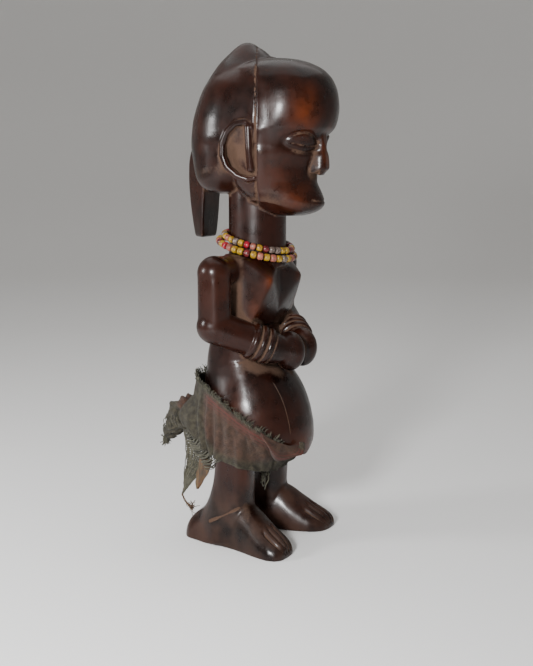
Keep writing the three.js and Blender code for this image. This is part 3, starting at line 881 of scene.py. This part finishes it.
strand("upper", upper_centre, UPPER_RING * MM, UPPER_BEAD * MM, UPPER_COUNT, UPPER_SINGLES,
       FIRST_OF_RUN, UPPER_RUN, UPPER_REST)
strand("lower", lower_centre, STRAND_RING * MM, LOWER_BEAD * MM, LOWER_COUNT, LOWER_SINGLES,
       FIRST_OF_RUN, LOWER_RUN, LOWER_REST)


# Tubes along paths: each path is a row of points, each with its own thickness.
def tubes(paths, radii, sides=5, closed=False):
    verts, faces, share = [], [], []
    for number, (path, radius) in enumerate(zip(paths, radii)):
        path = np.array(path, float)
        count = len(path)
        ahead = np.roll(path, -1, 0) - np.roll(path, 1, 0) if closed else np.gradient(path, axis=0)
        ahead /= np.maximum(np.linalg.norm(ahead, axis=1), 1e-9)[:, None]
        guide = np.array((0.31, 0.87, 0.38))
        one = np.cross(ahead, guide)
        one /= np.linalg.norm(one, axis=1)[:, None]
        two = np.cross(ahead, one)
        base = len(verts)
        for k in range(count):
            for side in range(sides):
                turn = 2 * math.pi * side / sides
                verts.append(path[k] + radius * (one[k] * math.cos(turn) + two[k] * math.sin(turn)))
                share.append(number)
        for k in range(count if closed else count - 1):
            following = (k + 1) % count
            for side in range(sides):
                near = (side + 1) % sides
                faces.append((base + k * sides + side, base + k * sides + near,
                              base + following * sides + near, base + following * sides + side))
        if not closed:
            faces.append(tuple(base + side for side in reversed(range(sides))))
            faces.append(tuple(base + (count - 1) * sides + side for side in range(sides)))
    return np.array(verts), faces, np.array(share)


# Thread: a dull twisted fibre whose tone changes from strand to strand.
def thread_paint(name, first, second):
    made, tree, surface = material(name)
    position = node(tree, "TexCoord").outputs["Object"]
    fuzz = cloud(tree, position, 2200.0, 3.0)
    share = plus(tree, attribute(tree, "tone"), times(tree, fuzz, 0.4))
    colour = blended(tree, mask(tree, share, 0.2, 1.1), first, second)
    link(tree, colour, surface, "Base Color")
    link(tree, mask(tree, fuzz, 0.3, 0.7, 0.8, 0.98), surface, "Roughness")
    surface.inputs["Sheen Weight"].default_value = 0.1
    surface.inputs["Specular IOR Level"].default_value = 0.25
    raised(tree, surface, times(tree, fuzz, 0.12))
    return made


string_paint = thread_paint("bead_string", (0.07, 0.04, 0.025, 1), (0.16, 0.1, 0.06, 1))
for name, centre, ring in (("upper", upper_centre, UPPER_RING * MM),
                           ("lower", lower_centre, STRAND_RING * MM)):
    plies = []
    for ply in (0, math.pi):
        twist = [(2 * math.pi * k / 320, 2 * math.pi * k / 8 + ply) for k in range(320)]
        plies.append([strand_point(centre, ring, a, 0.2 * MM * math.cos(b), 0.2 * MM * math.sin(b))
                      for a, b in twist])
    verts, faces, share = tubes(plies, [0.25 * MM] * 2, closed=True)
    cord = mesh_piece(name + "_cord", verts, faces, [string_paint], {"tone": share * 0.5})
    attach(cord, name + "_strand")
    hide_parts(name + "_string")

# ------------------------------------------------------- the cloth wrap
# A worn strip of hand-woven cotton, wound low round the hips and tied behind.
# It hangs from its upper hem, which slants from the small of the back down to
# the thigh, and its weave, stripes and frayed edges follow the cloth itself.

# Each point round the hips: degrees from the front towards +X, lower and upper hem.
HEMS = [
    (0, 44, 53), (22, 45, 56), (45, 49, 68), (68, 53, 82), (90, 55, 92), (125, 58, 100),
    (155, 61, 102), (180, 65, 102), (205, 70, 102), (218, 71, 101.5), (226, 66.5, 101),
    (238, 61.5, 99.5), (256, 57, 94.5), (275, 54, 88), (292, 51, 80.5), (308, 49, 74),
    (322, 47, 67), (338, 45, 58), (360, 44, 53),
]
WRAP_CENTRE_Y = 3.0
WRAP_CLEAR = 1.0
WRAP_TURNS, WRAP_ROWS = ((190, 26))


def outside_figure(turn, height, clear, least):
    reach = np.full(len(turn), 56.0)
    for _ in range(26):
        spot = np.stack([reach * np.sin(turn), WRAP_CENTRE_Y - reach * np.cos(turn), height], 1)
        reach -= 0.85 * np.clip(carving(spot) - clear, -2, 4)
        reach = np.maximum(reach, least)
    return reach


hem_table = np.array(HEMS, float)
turns = np.linspace(0, 2 * np.pi, WRAP_TURNS, endpoint=False)
hem_low = np.interp(np.degrees(turns), hem_table[:, 0], hem_table[:, 1])
hem_top = np.interp(np.degrees(turns), hem_table[:, 0], hem_table[:, 2])
share_up = np.linspace(0, 1, WRAP_ROWS)
turn_grid = np.repeat(turns[:, None], WRAP_ROWS, 1)
height_grid = hem_low[:, None] + (hem_top - hem_low)[:, None] * share_up
near_front = line_at(np.minimum(turn_grid, 2 * np.pi - turn_grid), 0.7)
least = 27 - near_front * (12 - np.maximum(height_grid - 44, 0) * 1.1)
reach = outside_figure(turn_grid.ravel(), height_grid.ravel(), WRAP_CLEAR, least.ravel())
reach = reach.reshape(turn_grid.shape)
for _ in range(10):
    around = (np.roll(reach, 1, 0) + np.roll(reach, -1, 0)) / 2
    up = np.pad(reach, ((0, 0), (1, 1)), "edge")
    reach = np.maximum(reach, 0.4 * around + 0.3 * (up[:, 2:] + up[:, :-2]))
slack = 19 * line_at(np.degrees(turn_grid) - 203, 36) * line_at(height_grid - 79, 17)
ripple = 0.9 * np.sin(turn_grid * 13 + height_grid * 0.11)
ripple += 0.6 * np.sin(turn_grid * 29 - height_grid * 0.07)
loose = ease(share_up, 0.98, 0.5)[None, :]
reach = reach * (1 + 0.02 * loose) + slack + ripple * loose * 0.8 + 0.6
start_shape = np.stack([reach * np.sin(turn_grid), WRAP_CENTRE_Y - reach * np.cos(turn_grid),
                        height_grid], -1)


def grid_faces(columns, rows, closed=True):
    faces = []
    for column in range(columns if closed else columns - 1):
        ahead = (column + 1) % columns
        for row in range(rows - 1):
            faces.append((column * rows + row, ahead * rows + row,
                          ahead * rows + row + 1, column * rows + row + 1))
    return faces


# The simulation runs ten times larger than life, where its gaps are sound.
SIM_SCALE = 10 * MM
hips_points, hips_faces = carved_skin(3.0, np.array([-45, -45, 18.0]), np.array([45, 45, 122.0]))
hips = mesh_piece("hips_for_cloth", hips_points * SIM_SCALE, hips_faces.tolist(), [])
hips.modifiers.new("Collision", "COLLISION")
hips.collision.thickness_outer = 0.006
hips.collision.cloth_friction = 30
wrap = mesh_piece("wrap", start_shape.reshape(-1, 3) * SIM_SCALE,
                  grid_faces(WRAP_TURNS, WRAP_ROWS), [])
held = wrap.vertex_groups.new(name="held")
for column in range(WRAP_TURNS):
    lowest_held = 0 if near_front[column, 0] > 0.45 else WRAP_ROWS - 2
    held.add([column * WRAP_ROWS + row for row in range(lowest_held, WRAP_ROWS)], 1.0, "REPLACE")
cloth = wrap.modifiers.new("Cloth", "CLOTH")
cloth.settings.quality = 6
cloth.settings.mass = 0.15
cloth.settings.tension_stiffness = 40
cloth.settings.compression_stiffness = 40
cloth.settings.shear_stiffness = 8
cloth.settings.bending_stiffness = 0.15
cloth.settings.vertex_group_mass = "held"
cloth.collision_settings.distance_min = 0.006
scene = bpy.context.scene
LAST_MOMENT, MOST_SAG = 20, 7
for moment in range(1, LAST_MOMENT + 1):
    scene.frame_set(moment)
settled = wrap.evaluated_get(bpy.context.evaluated_depsgraph_get()).data
hung = np.empty(len(settled.vertices) * 3)
settled.vertices.foreach_get("co", hung)
hung = hung.reshape(-1, 3) / SIM_SCALE
moved = hung - start_shape.reshape(-1, 3)
far = np.linalg.norm(moved, axis=1)
hung = start_shape.reshape(-1, 3) + moved * np.minimum(1, MOST_SAG / np.maximum(far, 1e-6))[:, None]
bpy.data.objects.remove(wrap)
bpy.data.objects.remove(hips)
scene.frame_set(1)


# Finer rows and columns between the settled ones, kept clear of the wood.
def finer(grid, closed):
    ahead = np.roll(grid, -1, 0) if closed else grid[1:]
    middle = (grid[:len(ahead)] + ahead) / 2
    woven = np.empty((len(grid) + len(middle),) + grid.shape[1:])
    woven[0::2] = grid
    woven[1::2] = middle
    upright = np.empty((woven.shape[0], 2 * woven.shape[1] - 1) + woven.shape[2:])
    upright[:, 0::2] = woven
    upright[:, 1::2] = (woven[:, :-1] + woven[:, 1:]) / 2
    return upright


# A cloth with two faces and closed edges, from a grid of points on its middle.
def two_sided(grid, thickness, closed):
    columns, rows = grid.shape[:2]
    along = np.roll(grid, -1, 0) - np.roll(grid, 1, 0) if closed else np.gradient(grid, axis=0)
    face_out = np.cross(along, np.gradient(grid, axis=1))
    face_out /= np.maximum(np.linalg.norm(face_out, axis=2), 1e-9)[..., None]
    outer = (grid + face_out * thickness / 2).reshape(-1, 3)
    inner = (grid - face_out * thickness / 2).reshape(-1, 3)
    faces = grid_faces(columns, rows, closed)
    count = columns * rows
    faces += [tuple(corner + count for corner in reversed(face)) for face in faces]
    for column in range(columns if closed else columns - 1):
        here, ahead = column * rows, (column + 1) % columns * rows
        faces.append((ahead, here, here + count, ahead + count))
        here, ahead = here + rows - 1, ahead + rows - 1
        faces.append((here, ahead, ahead + count, here + count))
    if not closed:
        last = (columns - 1) * rows
        for row in range(rows - 1):
            faces.append((row, row + 1, row + 1 + count, row + count))
            faces.append((last + row + 1, last + row, last + row + count, last + row + 1 + count))
    return np.concatenate([outer, inner]), faces


def lift_clear(points, clear):
    for _ in range(4):
        slope = outward(points, 0.4)
        slope /= np.maximum(np.linalg.norm(slope, axis=1), 1e-6)[:, None]
        points = points + slope * np.maximum(clear - carving(points), 0)[:, None]
    return points


wrap_grid = finer(hung.reshape(WRAP_TURNS, WRAP_ROWS, 3), True)
CLOTH_GAP = 0.75
wrap_grid = lift_clear(wrap_grid.reshape(-1, 3), CLOTH_GAP).reshape(wrap_grid.shape)
columns, rows = wrap_grid.shape[:2]
step_along = np.linalg.norm(np.roll(wrap_grid, -1, 0) - wrap_grid, axis=2).mean(axis=1)
along_mm = np.repeat((np.cumsum(step_along) - step_along)[:, None], rows, 1)
hem_depth = np.repeat(np.interp(np.linspace(0, 2 * np.pi, columns, endpoint=False), turns,
                                hem_top - hem_low)[:, None], rows, 1)
from_top_mm = hem_depth * (1 - np.linspace(0, 1, rows))[None, :]
from_low_mm = hem_depth - from_top_mm
turn_deg = np.repeat(np.linspace(0, 360, columns, endpoint=False)[:, None], rows, 1)
worn_edge = 1.0 * line_at(from_low_mm, 8) + 0.8 * line_at(from_top_mm, 1.3)
worn_edge += ease(turn_deg, 258, 232) * ease(turn_deg, 120, 160) + line_at(turn_deg, 22)
worn_edge += line_at(turn_deg - 360, 32)
WRAP_THICK = 1.0
wrap_verts, wrap_faces = two_sided(wrap_grid, WRAP_THICK, True)

# Plain weave: threads pass over and under each other by turns, and the gaps between them carry painted
# shade.
weave_tree, given, made = effect(
    "weave", [("Along", "Float"), ("Across", "Float"), ("Pitch", "Float")],
    [("Height", "Float"), ("Warp", "Float"), ("Gap Shade", "Float")])
u = maths(weave_tree, "DIVIDE", given["Along"], given["Pitch"])
v = maths(weave_tree, "DIVIDE", given["Across"], given["Pitch"])
ridge_u = maths(weave_tree, "ABSOLUTE", maths(weave_tree, "SINE", times(weave_tree, u, math.pi)))
ridge_v = maths(weave_tree, "ABSOLUTE", maths(weave_tree, "SINE", times(weave_tree, v, math.pi)))
cells = plus(weave_tree, maths(weave_tree, "FLOOR", u), maths(weave_tree, "FLOOR", v))
odd = maths(weave_tree, "FLOORED_MODULO", cells, 2.0)
over = node(weave_tree, "Mix", {0: odd, 2: ridge_u, 3: ridge_v}, data_type="FLOAT").outputs[0]
weave_tree.links.new(maths(weave_tree, "POWER", over, 0.6), made["Height"])
weave_tree.links.new(odd, made["Warp"])
both = plus(weave_tree, ridge_u, ridge_v)
weave_tree.links.new(mask(weave_tree, both, 0.25, 0.75, 1.0, 0.0), made["Gap Shade"])

woven, tree, surface = material("woven_cloth")
position = node(tree, "TexCoord").outputs["Object"]
uneven = times(tree, cloud(tree, position, 240.0, 3.0), 1.1)
along = plus(tree, attribute(tree, "along"), uneven)
across = plus(tree, attribute(tree, "from_top"), uneven)
weave = node(tree, "Group", {"Along": along, "Across": across, "Pitch": 0.62},
             node_tree=weave_tree).outputs
slubs = cloud(tree, position, 330.0, 4.0)
fade = cloud(tree, position, 70.0, 4.0)
colour = blended(tree, mask(tree, slubs, 0.35, 0.68), (0.03, 0.0155, 0.0105, 1), (0.07, 0.037, 0.0255, 1))
yarn = blended(tree, mask(tree, fade, 0.35, 0.65), (0.048, 0.033, 0.02, 1), (0.06, 0.026, 0.018, 1))
colour = blended(tree, times(tree, weave["Warp"], 0.55), colour, yarn)
for centre, half, share in ((3.4, 0.9, 0.75), (5.6, 0.6, 0.6), (7.6, 0.5, 0.35)):
    aside = maths(tree, "ABSOLUTE", maths(tree, "SUBTRACT", across, centre + 0.6))
    stripe = times(tree, mask(tree, aside, half * 0.6, half * 1.3, 1.0, 0.0), share)
    colour = blended(tree, stripe, colour, (0.09, 0.025, 0.02, 1))
olive = blended(tree, mask(tree, slubs, 0.3, 0.7), (0.018, 0.015, 0.0095, 1), (0.054, 0.047, 0.031, 1))
worn = plus(tree, attribute(tree, "worn_edge"), maths(tree, "SUBTRACT", fade, 0.5))
colour = blended(tree, mask(tree, worn, 0.25, 0.95), colour, olive)
# Painted shade: the gaps between the threads are darkened.
colour = blended(tree, times(tree, weave["Gap Shade"], 0.75), colour, (0.018, 0.011, 0.008, 1))
link(tree, colour, surface, "Base Color")
link(tree, mask(tree, slubs, 0.2, 0.8, 0.82, 0.98), surface, "Roughness")
surface.inputs["Sheen Weight"].default_value = 0.06
surface.inputs["Specular IOR Level"].default_value = 0.2
height = times(tree, weave["Height"], 0.28)
raised(tree, surface, plus(tree, height, times(tree, slubs, 0.25)))


def cloth_piece(name, grid, verts, faces, along_mm, from_top_mm, worn_edge):
    both = {"along": along_mm, "from_top": from_top_mm, "worn_edge": worn_edge}
    both = {label: np.tile(np.broadcast_to(numbers, grid.shape[:2]).ravel(), 2)
            for label, numbers in both.items()}
    return figure_piece(name, verts, faces, woven, both)


wrap = cloth_piece("wrap", wrap_grid, wrap_verts, wrap_faces, along_mm, from_top_mm, worn_edge)
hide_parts("wrap_cloth")

# A turned-down fold sags in a U where the upper hem passes the right thigh.
FOLD_COLUMNS, FOLD_ROWS = 64, 30
across_fold = np.linspace(-1, 1, FOLD_COLUMNS)[:, None] * np.ones(FOLD_ROWS)
down_fold = np.ones((FOLD_COLUMNS, 1)) * np.linspace(0, 1, FOLD_ROWS)
FOLD_TURN, FOLD_HALF_TURN, FOLD_PUFF = 326, 21, 6.4
fold_turn = np.radians(FOLD_TURN + FOLD_HALF_TURN * across_fold * (1 - 0.28 * down_fold ** 2))
FOLD_TOP, FOLD_LOW = 70.5, 55.5
fold_top = FOLD_TOP - 5.5 * across_fold - 3.2 * (1 - across_fold ** 2)
fold_low = FOLD_LOW + 13.5 * np.abs(across_fold) ** 2.6 - 1.5 * across_fold
fold_height = fold_top + (fold_low - fold_top) * down_fold
fold_least = np.full(fold_turn.size, 24.0)
fold_reach = outside_figure(fold_turn.ravel(), fold_height.ravel(), 2.2, fold_least)
beneath = wrap_grid.reshape(-1, 3)
beneath = beneath[(beneath[:, 0] < 0) & (beneath[:, 1] < 4)]
beneath_reach = np.hypot(beneath[:, 0], beneath[:, 1] - WRAP_CENTRE_Y)
beneath_turn = np.arctan2(beneath[:, 0], WRAP_CENTRE_Y - beneath[:, 1]) % (2 * np.pi)
for k, (turn, height) in enumerate(zip(fold_turn.ravel(), fold_height.ravel())):
    near = np.hypot((beneath_turn - turn) * 30, beneath[:, 2] - height)
    fold_reach[k] = max(fold_reach[k], beneath_reach[near < 2.0].max(initial=0) + 1.3)
fold_reach = fold_reach.reshape(fold_turn.shape)
for _ in range(20):
    wide = np.pad(fold_reach, 1, "edge")
    around = (wide[2:, 1:-1] + wide[:-2, 1:-1] + wide[1:-1, 2:] + wide[1:-1, :-2]) / 4
    fold_reach = np.maximum(fold_reach, around)
fold_reach += FOLD_PUFF * np.sin(np.pi * 0.93 * down_fold ** 1.8) * (1 - across_fold ** 4) + 0.6
fold_reach += 0.35 * np.sin(9 * down_fold + 5 * across_fold) * (1 - across_fold ** 2)
fold_grid = np.stack([fold_reach * np.sin(fold_turn), WRAP_CENTRE_Y - fold_reach * np.cos(fold_turn),
                      fold_height], -1)
fold_verts, fold_faces = two_sided(fold_grid, WRAP_THICK, False)
above_fold_edge = (fold_top - fold_low) * (1 - down_fold)
fold = cloth_piece("wrap_fold", fold_grid, fold_verts, fold_faces, across_fold * 17 + 60,
                   above_fold_edge + 0.8,
                   0.9 * line_at(above_fold_edge, 1.2) * ease(across_fold, -0.9, 0.2))

# The tied corner is bunched into a lumpy twist that ends in a tuft.
KNOT_PATH = [(-14, 39, 80), (-15, 44.5, 77), (-14, 50, 72.5), (-13, 54.6, 67), (-12, 58.6, 62),
             (-11.5, 61, 58), (-11, 62.2, 55.5)]
KNOT_REACH = [9.5, 9.6, 8.2, 6.4, 4.6, 2.4, 2.0]
KNOT_RINGS, KNOT_SIDES = 90, 72
knot_at = np.linspace(0, len(KNOT_PATH) - 1, KNOT_RINGS)
knot_fine, knot_middle = smooth_track([(k,) + place for k, place in enumerate(KNOT_PATH)])
knot_line = np.stack([np.interp(knot_at, knot_fine, knot_middle[:, i]) for i in range(3)], 1)
knot_size = np.interp(knot_at, range(len(KNOT_REACH)), KNOT_REACH)
side_turn = np.linspace(0, 2 * np.pi, KNOT_SIDES, endpoint=False)[None, :]
twist = side_turn + knot_at[:, None] * 0.55
bunch = (1 + 0.13 * np.sin(3 * twist + 0.8) + 0.1 * np.sin(7 * twist + 2 * knot_at[:, None])
         + 0.06 * np.sin(13 * twist - 3 * knot_at[:, None]) + 0.08 * np.sin(4.6 * knot_at)[:, None])
ahead = np.gradient(knot_line, axis=0)
ahead /= np.linalg.norm(ahead, axis=1)[:, None]
knot_side = np.cross(ahead, (1, 0, 0))
knot_side /= np.linalg.norm(knot_side, axis=1)[:, None]
size = (knot_size[:, None] * bunch)[..., None]
knot_grid = (knot_line[:, None, :] + size * (np.array((0.72, 0, 0)) * np.sin(side_turn)[..., None]
             + knot_side[:, None, :] * np.cos(side_turn)[..., None]))
knot_verts = knot_grid.reshape(-1, 3)
knot_faces = []
for ring in range(KNOT_RINGS - 1):
    for side in range(KNOT_SIDES):
        near = (side + 1) % KNOT_SIDES
        knot_faces.append((ring * KNOT_SIDES + side, (ring + 1) * KNOT_SIDES + side,
                           (ring + 1) * KNOT_SIDES + near, ring * KNOT_SIDES + near))
knot_faces.append(tuple(range(KNOT_SIDES)))
knot_faces.append(tuple(reversed(range((KNOT_RINGS - 1) * KNOT_SIDES, KNOT_RINGS * KNOT_SIDES))))
knot_values = {
    "along": np.repeat(knot_at * 7, KNOT_SIDES),
    "from_top": np.tile(side_turn.ravel() * 6, KNOT_RINGS) + 12,
    "worn_edge": np.repeat(ease(knot_at, 0.2, 1.2), KNOT_SIDES)}
knot = figure_piece("tied_corner", knot_verts, knot_faces, woven, knot_values)
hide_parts("knotted_corner")

# ------------------------------------------------- frayed and netted threads
# Loose cotton threads: curls along the upper hem, slack rungs where the weft has
# gone, a knotted net that narrows to a tail, and a tassel between the legs.

frayed = thread_paint("frayed_thread", (0.02, 0.018, 0.011, 1), (0.075, 0.07, 0.047, 1))
brown_thread = thread_paint("brown_thread", (0.04, 0.02, 0.01, 1), (0.09, 0.05, 0.024, 1))
chance = np.random.default_rng(11)


def between(start, end, share):
    return np.array(start, float) + (np.array(end, float) - np.array(start, float)) * share


def wandering(points, amount, steps, waves=3):
    points = np.array(points, float)
    t = np.linspace(0, len(points) - 1, steps)
    line = np.stack([np.interp(t, range(len(points)), points[:, i]) for i in range(3)], 1)
    for _ in range(2):
        line[1:-1] = (line[:-2] + 2 * line[1:-1] + line[2:]) / 4
    share = np.linspace(0, 1, steps)
    for axis in range(3):
        for wave in range(1, waves + 1):
            swing = chance.normal() * amount / wave
            turn = np.pi * wave * share + chance.uniform(0, 6)
            line[:, axis] += swing * np.sin(turn) * np.sin(np.pi * share)
    return line


def thread_piece(name, paths, thick, paint):
    radii = [thick * chance.uniform(0.75, 1.25) for _ in paths]
    verts, faces, share = tubes(paths, radii, 5)
    tones = chance.random(len(paths))[share]
    return figure_piece(name, verts, faces, paint, {"tone": tones})


# Curls along the upper hem, thickest on the right and at the back.
curls = []
outer = wrap_grid[:, -1]
for _ in range(330):
    column = int(chance.uniform(0.5, 0.955) * columns)
    root = outer[column] + chance.normal(0, 0.35, 3)
    away = outer[column] - np.array((0, WRAP_CENTRE_Y, outer[column][2]))
    away /= np.linalg.norm(away)
    sideways = np.cross(away, (0, 0, 1))
    length = chance.uniform(1.2, 4.2)
    lean = chance.uniform(-0.9, 0.9)
    curl, phase = chance.uniform(0.25, 1.0), chance.uniform(0, 6)
    path = []
    for share in np.linspace(0, 1, 11):
        turn = phase + share * chance.uniform(5, 7)
        path.append(root + np.array((0, 0, 1)) * (length * share + curl * math.sin(turn))
                    + sideways * (length * lean * share + curl * math.cos(turn))
                    + away * (0.3 + 0.8 * share + 0.4 * math.sin(turn)))
    curls.append(lift_clear(np.array(path), 0.5))
hem_curls = thread_piece("hem_curls", curls, 0.17, frayed)

# Slack rungs between the last of the weave and the net.
rungs = []
for number in range(22):
    share = number / 21
    start = between((-19, 43, 66), (-20, 29, 43), share)
    end = between((-25.5, 35, 73.5), (-32, 5, 56), share ** 0.9)
    for _ in range(2):
        sag = between(start, end, 0.5) + (0, 0, -2.2 - 1.4 * chance.random())
        begin = start + chance.normal(0, 0.3, 3)
        finish = end + chance.normal(0, 0.3, 3)
        rungs.append(lift_clear(wandering([begin, sag, finish], 0.5, 22), 0.5))
slack_rungs = thread_piece("slack_rungs", rungs, 0.33, frayed)

# The net: warp threads that run down to the tail, crossed by looping threads.
NET_OUTER = [(45, 66), (43.5, 57), (43.6, 50), (44, 43), (46, 36), (46.4, 30), (45.6, 25.5)]
NET_INNER = [(30, 66), (22.5, 54), (24.5, 47.5), (28.6, 41.5), (34.6, 35.6), (40.6, 29), (43.4, 25)]


def net_point(down, share, x=-17.0):
    rows = np.linspace(0, 1, len(NET_OUTER))
    outer_edge = [np.interp(down, rows, [p[i] for p in NET_OUTER]) for i in (0, 1)]
    inner_edge = [np.interp(down, rows, [p[i] for p in NET_INNER]) for i in (0, 1)]
    y, z = between(outer_edge, inner_edge, share)
    return np.array((x + 2.0 * math.sin(share * 3 + down * 2) - 2 * share, y, z))


warps, loops = [], []
for number in range(40):
    share = number / 39
    line = np.array([net_point(down, share + 0.05 * math.sin(9 * down + number * 2.4))
                     for down in np.linspace(0, 1, 34)])
    warps.append(line + chance.normal(0, 0.12, line.shape))
for number in range(58):
    down = (number + 0.5) / 59
    line = []
    for share in np.linspace(0, 1, 44):
        wave = 0.016 * math.sin(share * 40 + number * math.pi)
        line.append(net_point(min(down + wave, 1), share, -17.0 + 0.35 * math.cos(share * 40)))
    loops.append(np.array(line) + chance.normal(0, 0.1, (44, 3)))
net = thread_piece("net", warps + loops, 0.36, frayed)
TAIL = [(-17.6, 45, 27), (-17.4, 46.4, 22.6), (-17, 44.6, 19), (-16.8, 41.8, 16.6), (-16.8, 39.4, 14)]
tail = [wandering([np.array(p) + chance.normal(0, 0.35, 3) for p in TAIL], 0.25, 30) for _ in range(7)]
end_tuft = []
for _ in range(42):
    root = np.array((-17, 40, 15.4)) + chance.normal(0, 0.5, 3)
    tip = root + chance.normal(0, 1, 3) * (0.8, 1.6, 2.2) + (0, -0.8, 0.8)
    end_tuft.append(wandering([root, tip], 0.5, 9))
tail_tuft = thread_piece("net_tail", tail + end_tuft, 0.2, brown_thread)
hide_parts("netted_fringe")

# The tuft at the end of the tied corner, and stray loops over it.
tuft = []
for _ in range(60):
    root = np.array(KNOT_PATH[-2]) + chance.normal(0, 0.8, 3)
    tip = root + (chance.normal(0, 0.9), 1.6 + chance.normal(0, 1.3), -3.6 + chance.normal(0, 1.0))
    tuft.append(wandering([root, tip], 0.5, 9))
for _ in range(46):
    ring = int(chance.integers(12, KNOT_RINGS - 14))
    side = int(chance.integers(0, KNOT_SIDES))
    start = knot_grid[ring, side]
    end = knot_grid[min(ring + int(chance.integers(5, 14)), KNOT_RINGS - 2), (side + 9) % KNOT_SIDES]
    out = start - knot_line[ring]
    out = out / np.linalg.norm(out)
    tuft.append(wandering([start, (start + end) / 2 + out * 1.8, end], 0.5, 14))
corner_threads = thread_piece("corner_threads", tuft, 0.22, frayed)

# Tassel threads that hang between the legs.
tassel = []
for number in range(20):
    share = number / 19
    top = between((-6, -6.5, 47.5), (-8, -15, 48), share)
    low = between((-4, -4, 36), (-5, -8, 30), chance.random()) + (0, 0, chance.uniform(-1, 7))
    middle = between(top, low, 0.5) + chance.normal(0, 0.7, 3)
    tassel.append(wandering([top, middle, low], 0.9, 26, 5))
front_threads = thread_piece("front_threads", tassel, 0.3, frayed)
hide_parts("front_tassel")

# ---------------------------------------------------------- the fibre strip
# A dry, thin strip of golden-brown bark fibre, ragged along both sides.
# It is caught under the cloth and hangs behind the right leg.

fibre, tree, surface = material("fibre")
position = node(tree, "TexCoord").outputs["Object"]
strands = cloud(tree, position, 1100.0, 3.0, (1, 1, 0.12))
mottle = cloud(tree, position, 160.0, 3.0)
colour = blended(tree, mask(tree, strands, 0.3, 0.7), (0.028, 0.015, 0.006, 1), (0.1, 0.056, 0.021, 1))
colour = blended(tree, mask(tree, mottle, 0.5, 0.75, 0.0, 0.6), colour, (0.06, 0.04, 0.021, 1))
link(tree, colour, surface, "Base Color")
link(tree, mask(tree, strands, 0.2, 0.8, 0.45, 0.75), surface, "Roughness")
surface.inputs["Subsurface Weight"].default_value = 0.25
surface.inputs["Subsurface Scale"].default_value = 0.002
raised(tree, surface, times(tree, strands, 0.2))
STRIP_EDGE_BACK = [(29.4, 50.5), (30.6, 45), (32, 40), (33.2, 35), (33.2, 30.2)]
STRIP_EDGE_FRONT = [(20.6, 50.5), (22.4, 45), (24.8, 40), (28, 35), (31, 30)]
STRIP_ROWS, STRIP_COLUMNS = 44, 20
strip_grid = np.zeros((STRIP_COLUMNS, STRIP_ROWS, 3))
for row, down in enumerate(np.linspace(0, 1, STRIP_ROWS)):
    knots = np.linspace(0, 1, len(STRIP_EDGE_BACK))
    back = [np.interp(down, knots, [p[i] for p in STRIP_EDGE_BACK]) for i in (0, 1)]
    front = [np.interp(down, knots, [p[i] for p in STRIP_EDGE_FRONT]) for i in (0, 1)]
    for column, share in enumerate(np.linspace(0, 1, STRIP_COLUMNS)):
        y, z = between(front, back, share)
        ragged = 0.35 * math.sin(down * 17) * (share - 0.5)
        strip_grid[column, row] = (-21.5 + 0.8 * math.sin(4 * share + 3 * down), y + ragged, z)
strip_verts, strip_faces = two_sided(strip_grid, 0.35, False)
strip_verts = lift_clear(strip_verts, 0.15)
strip = figure_piece("bark_strip", strip_verts, strip_faces, fibre)
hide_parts("fibre_strip")
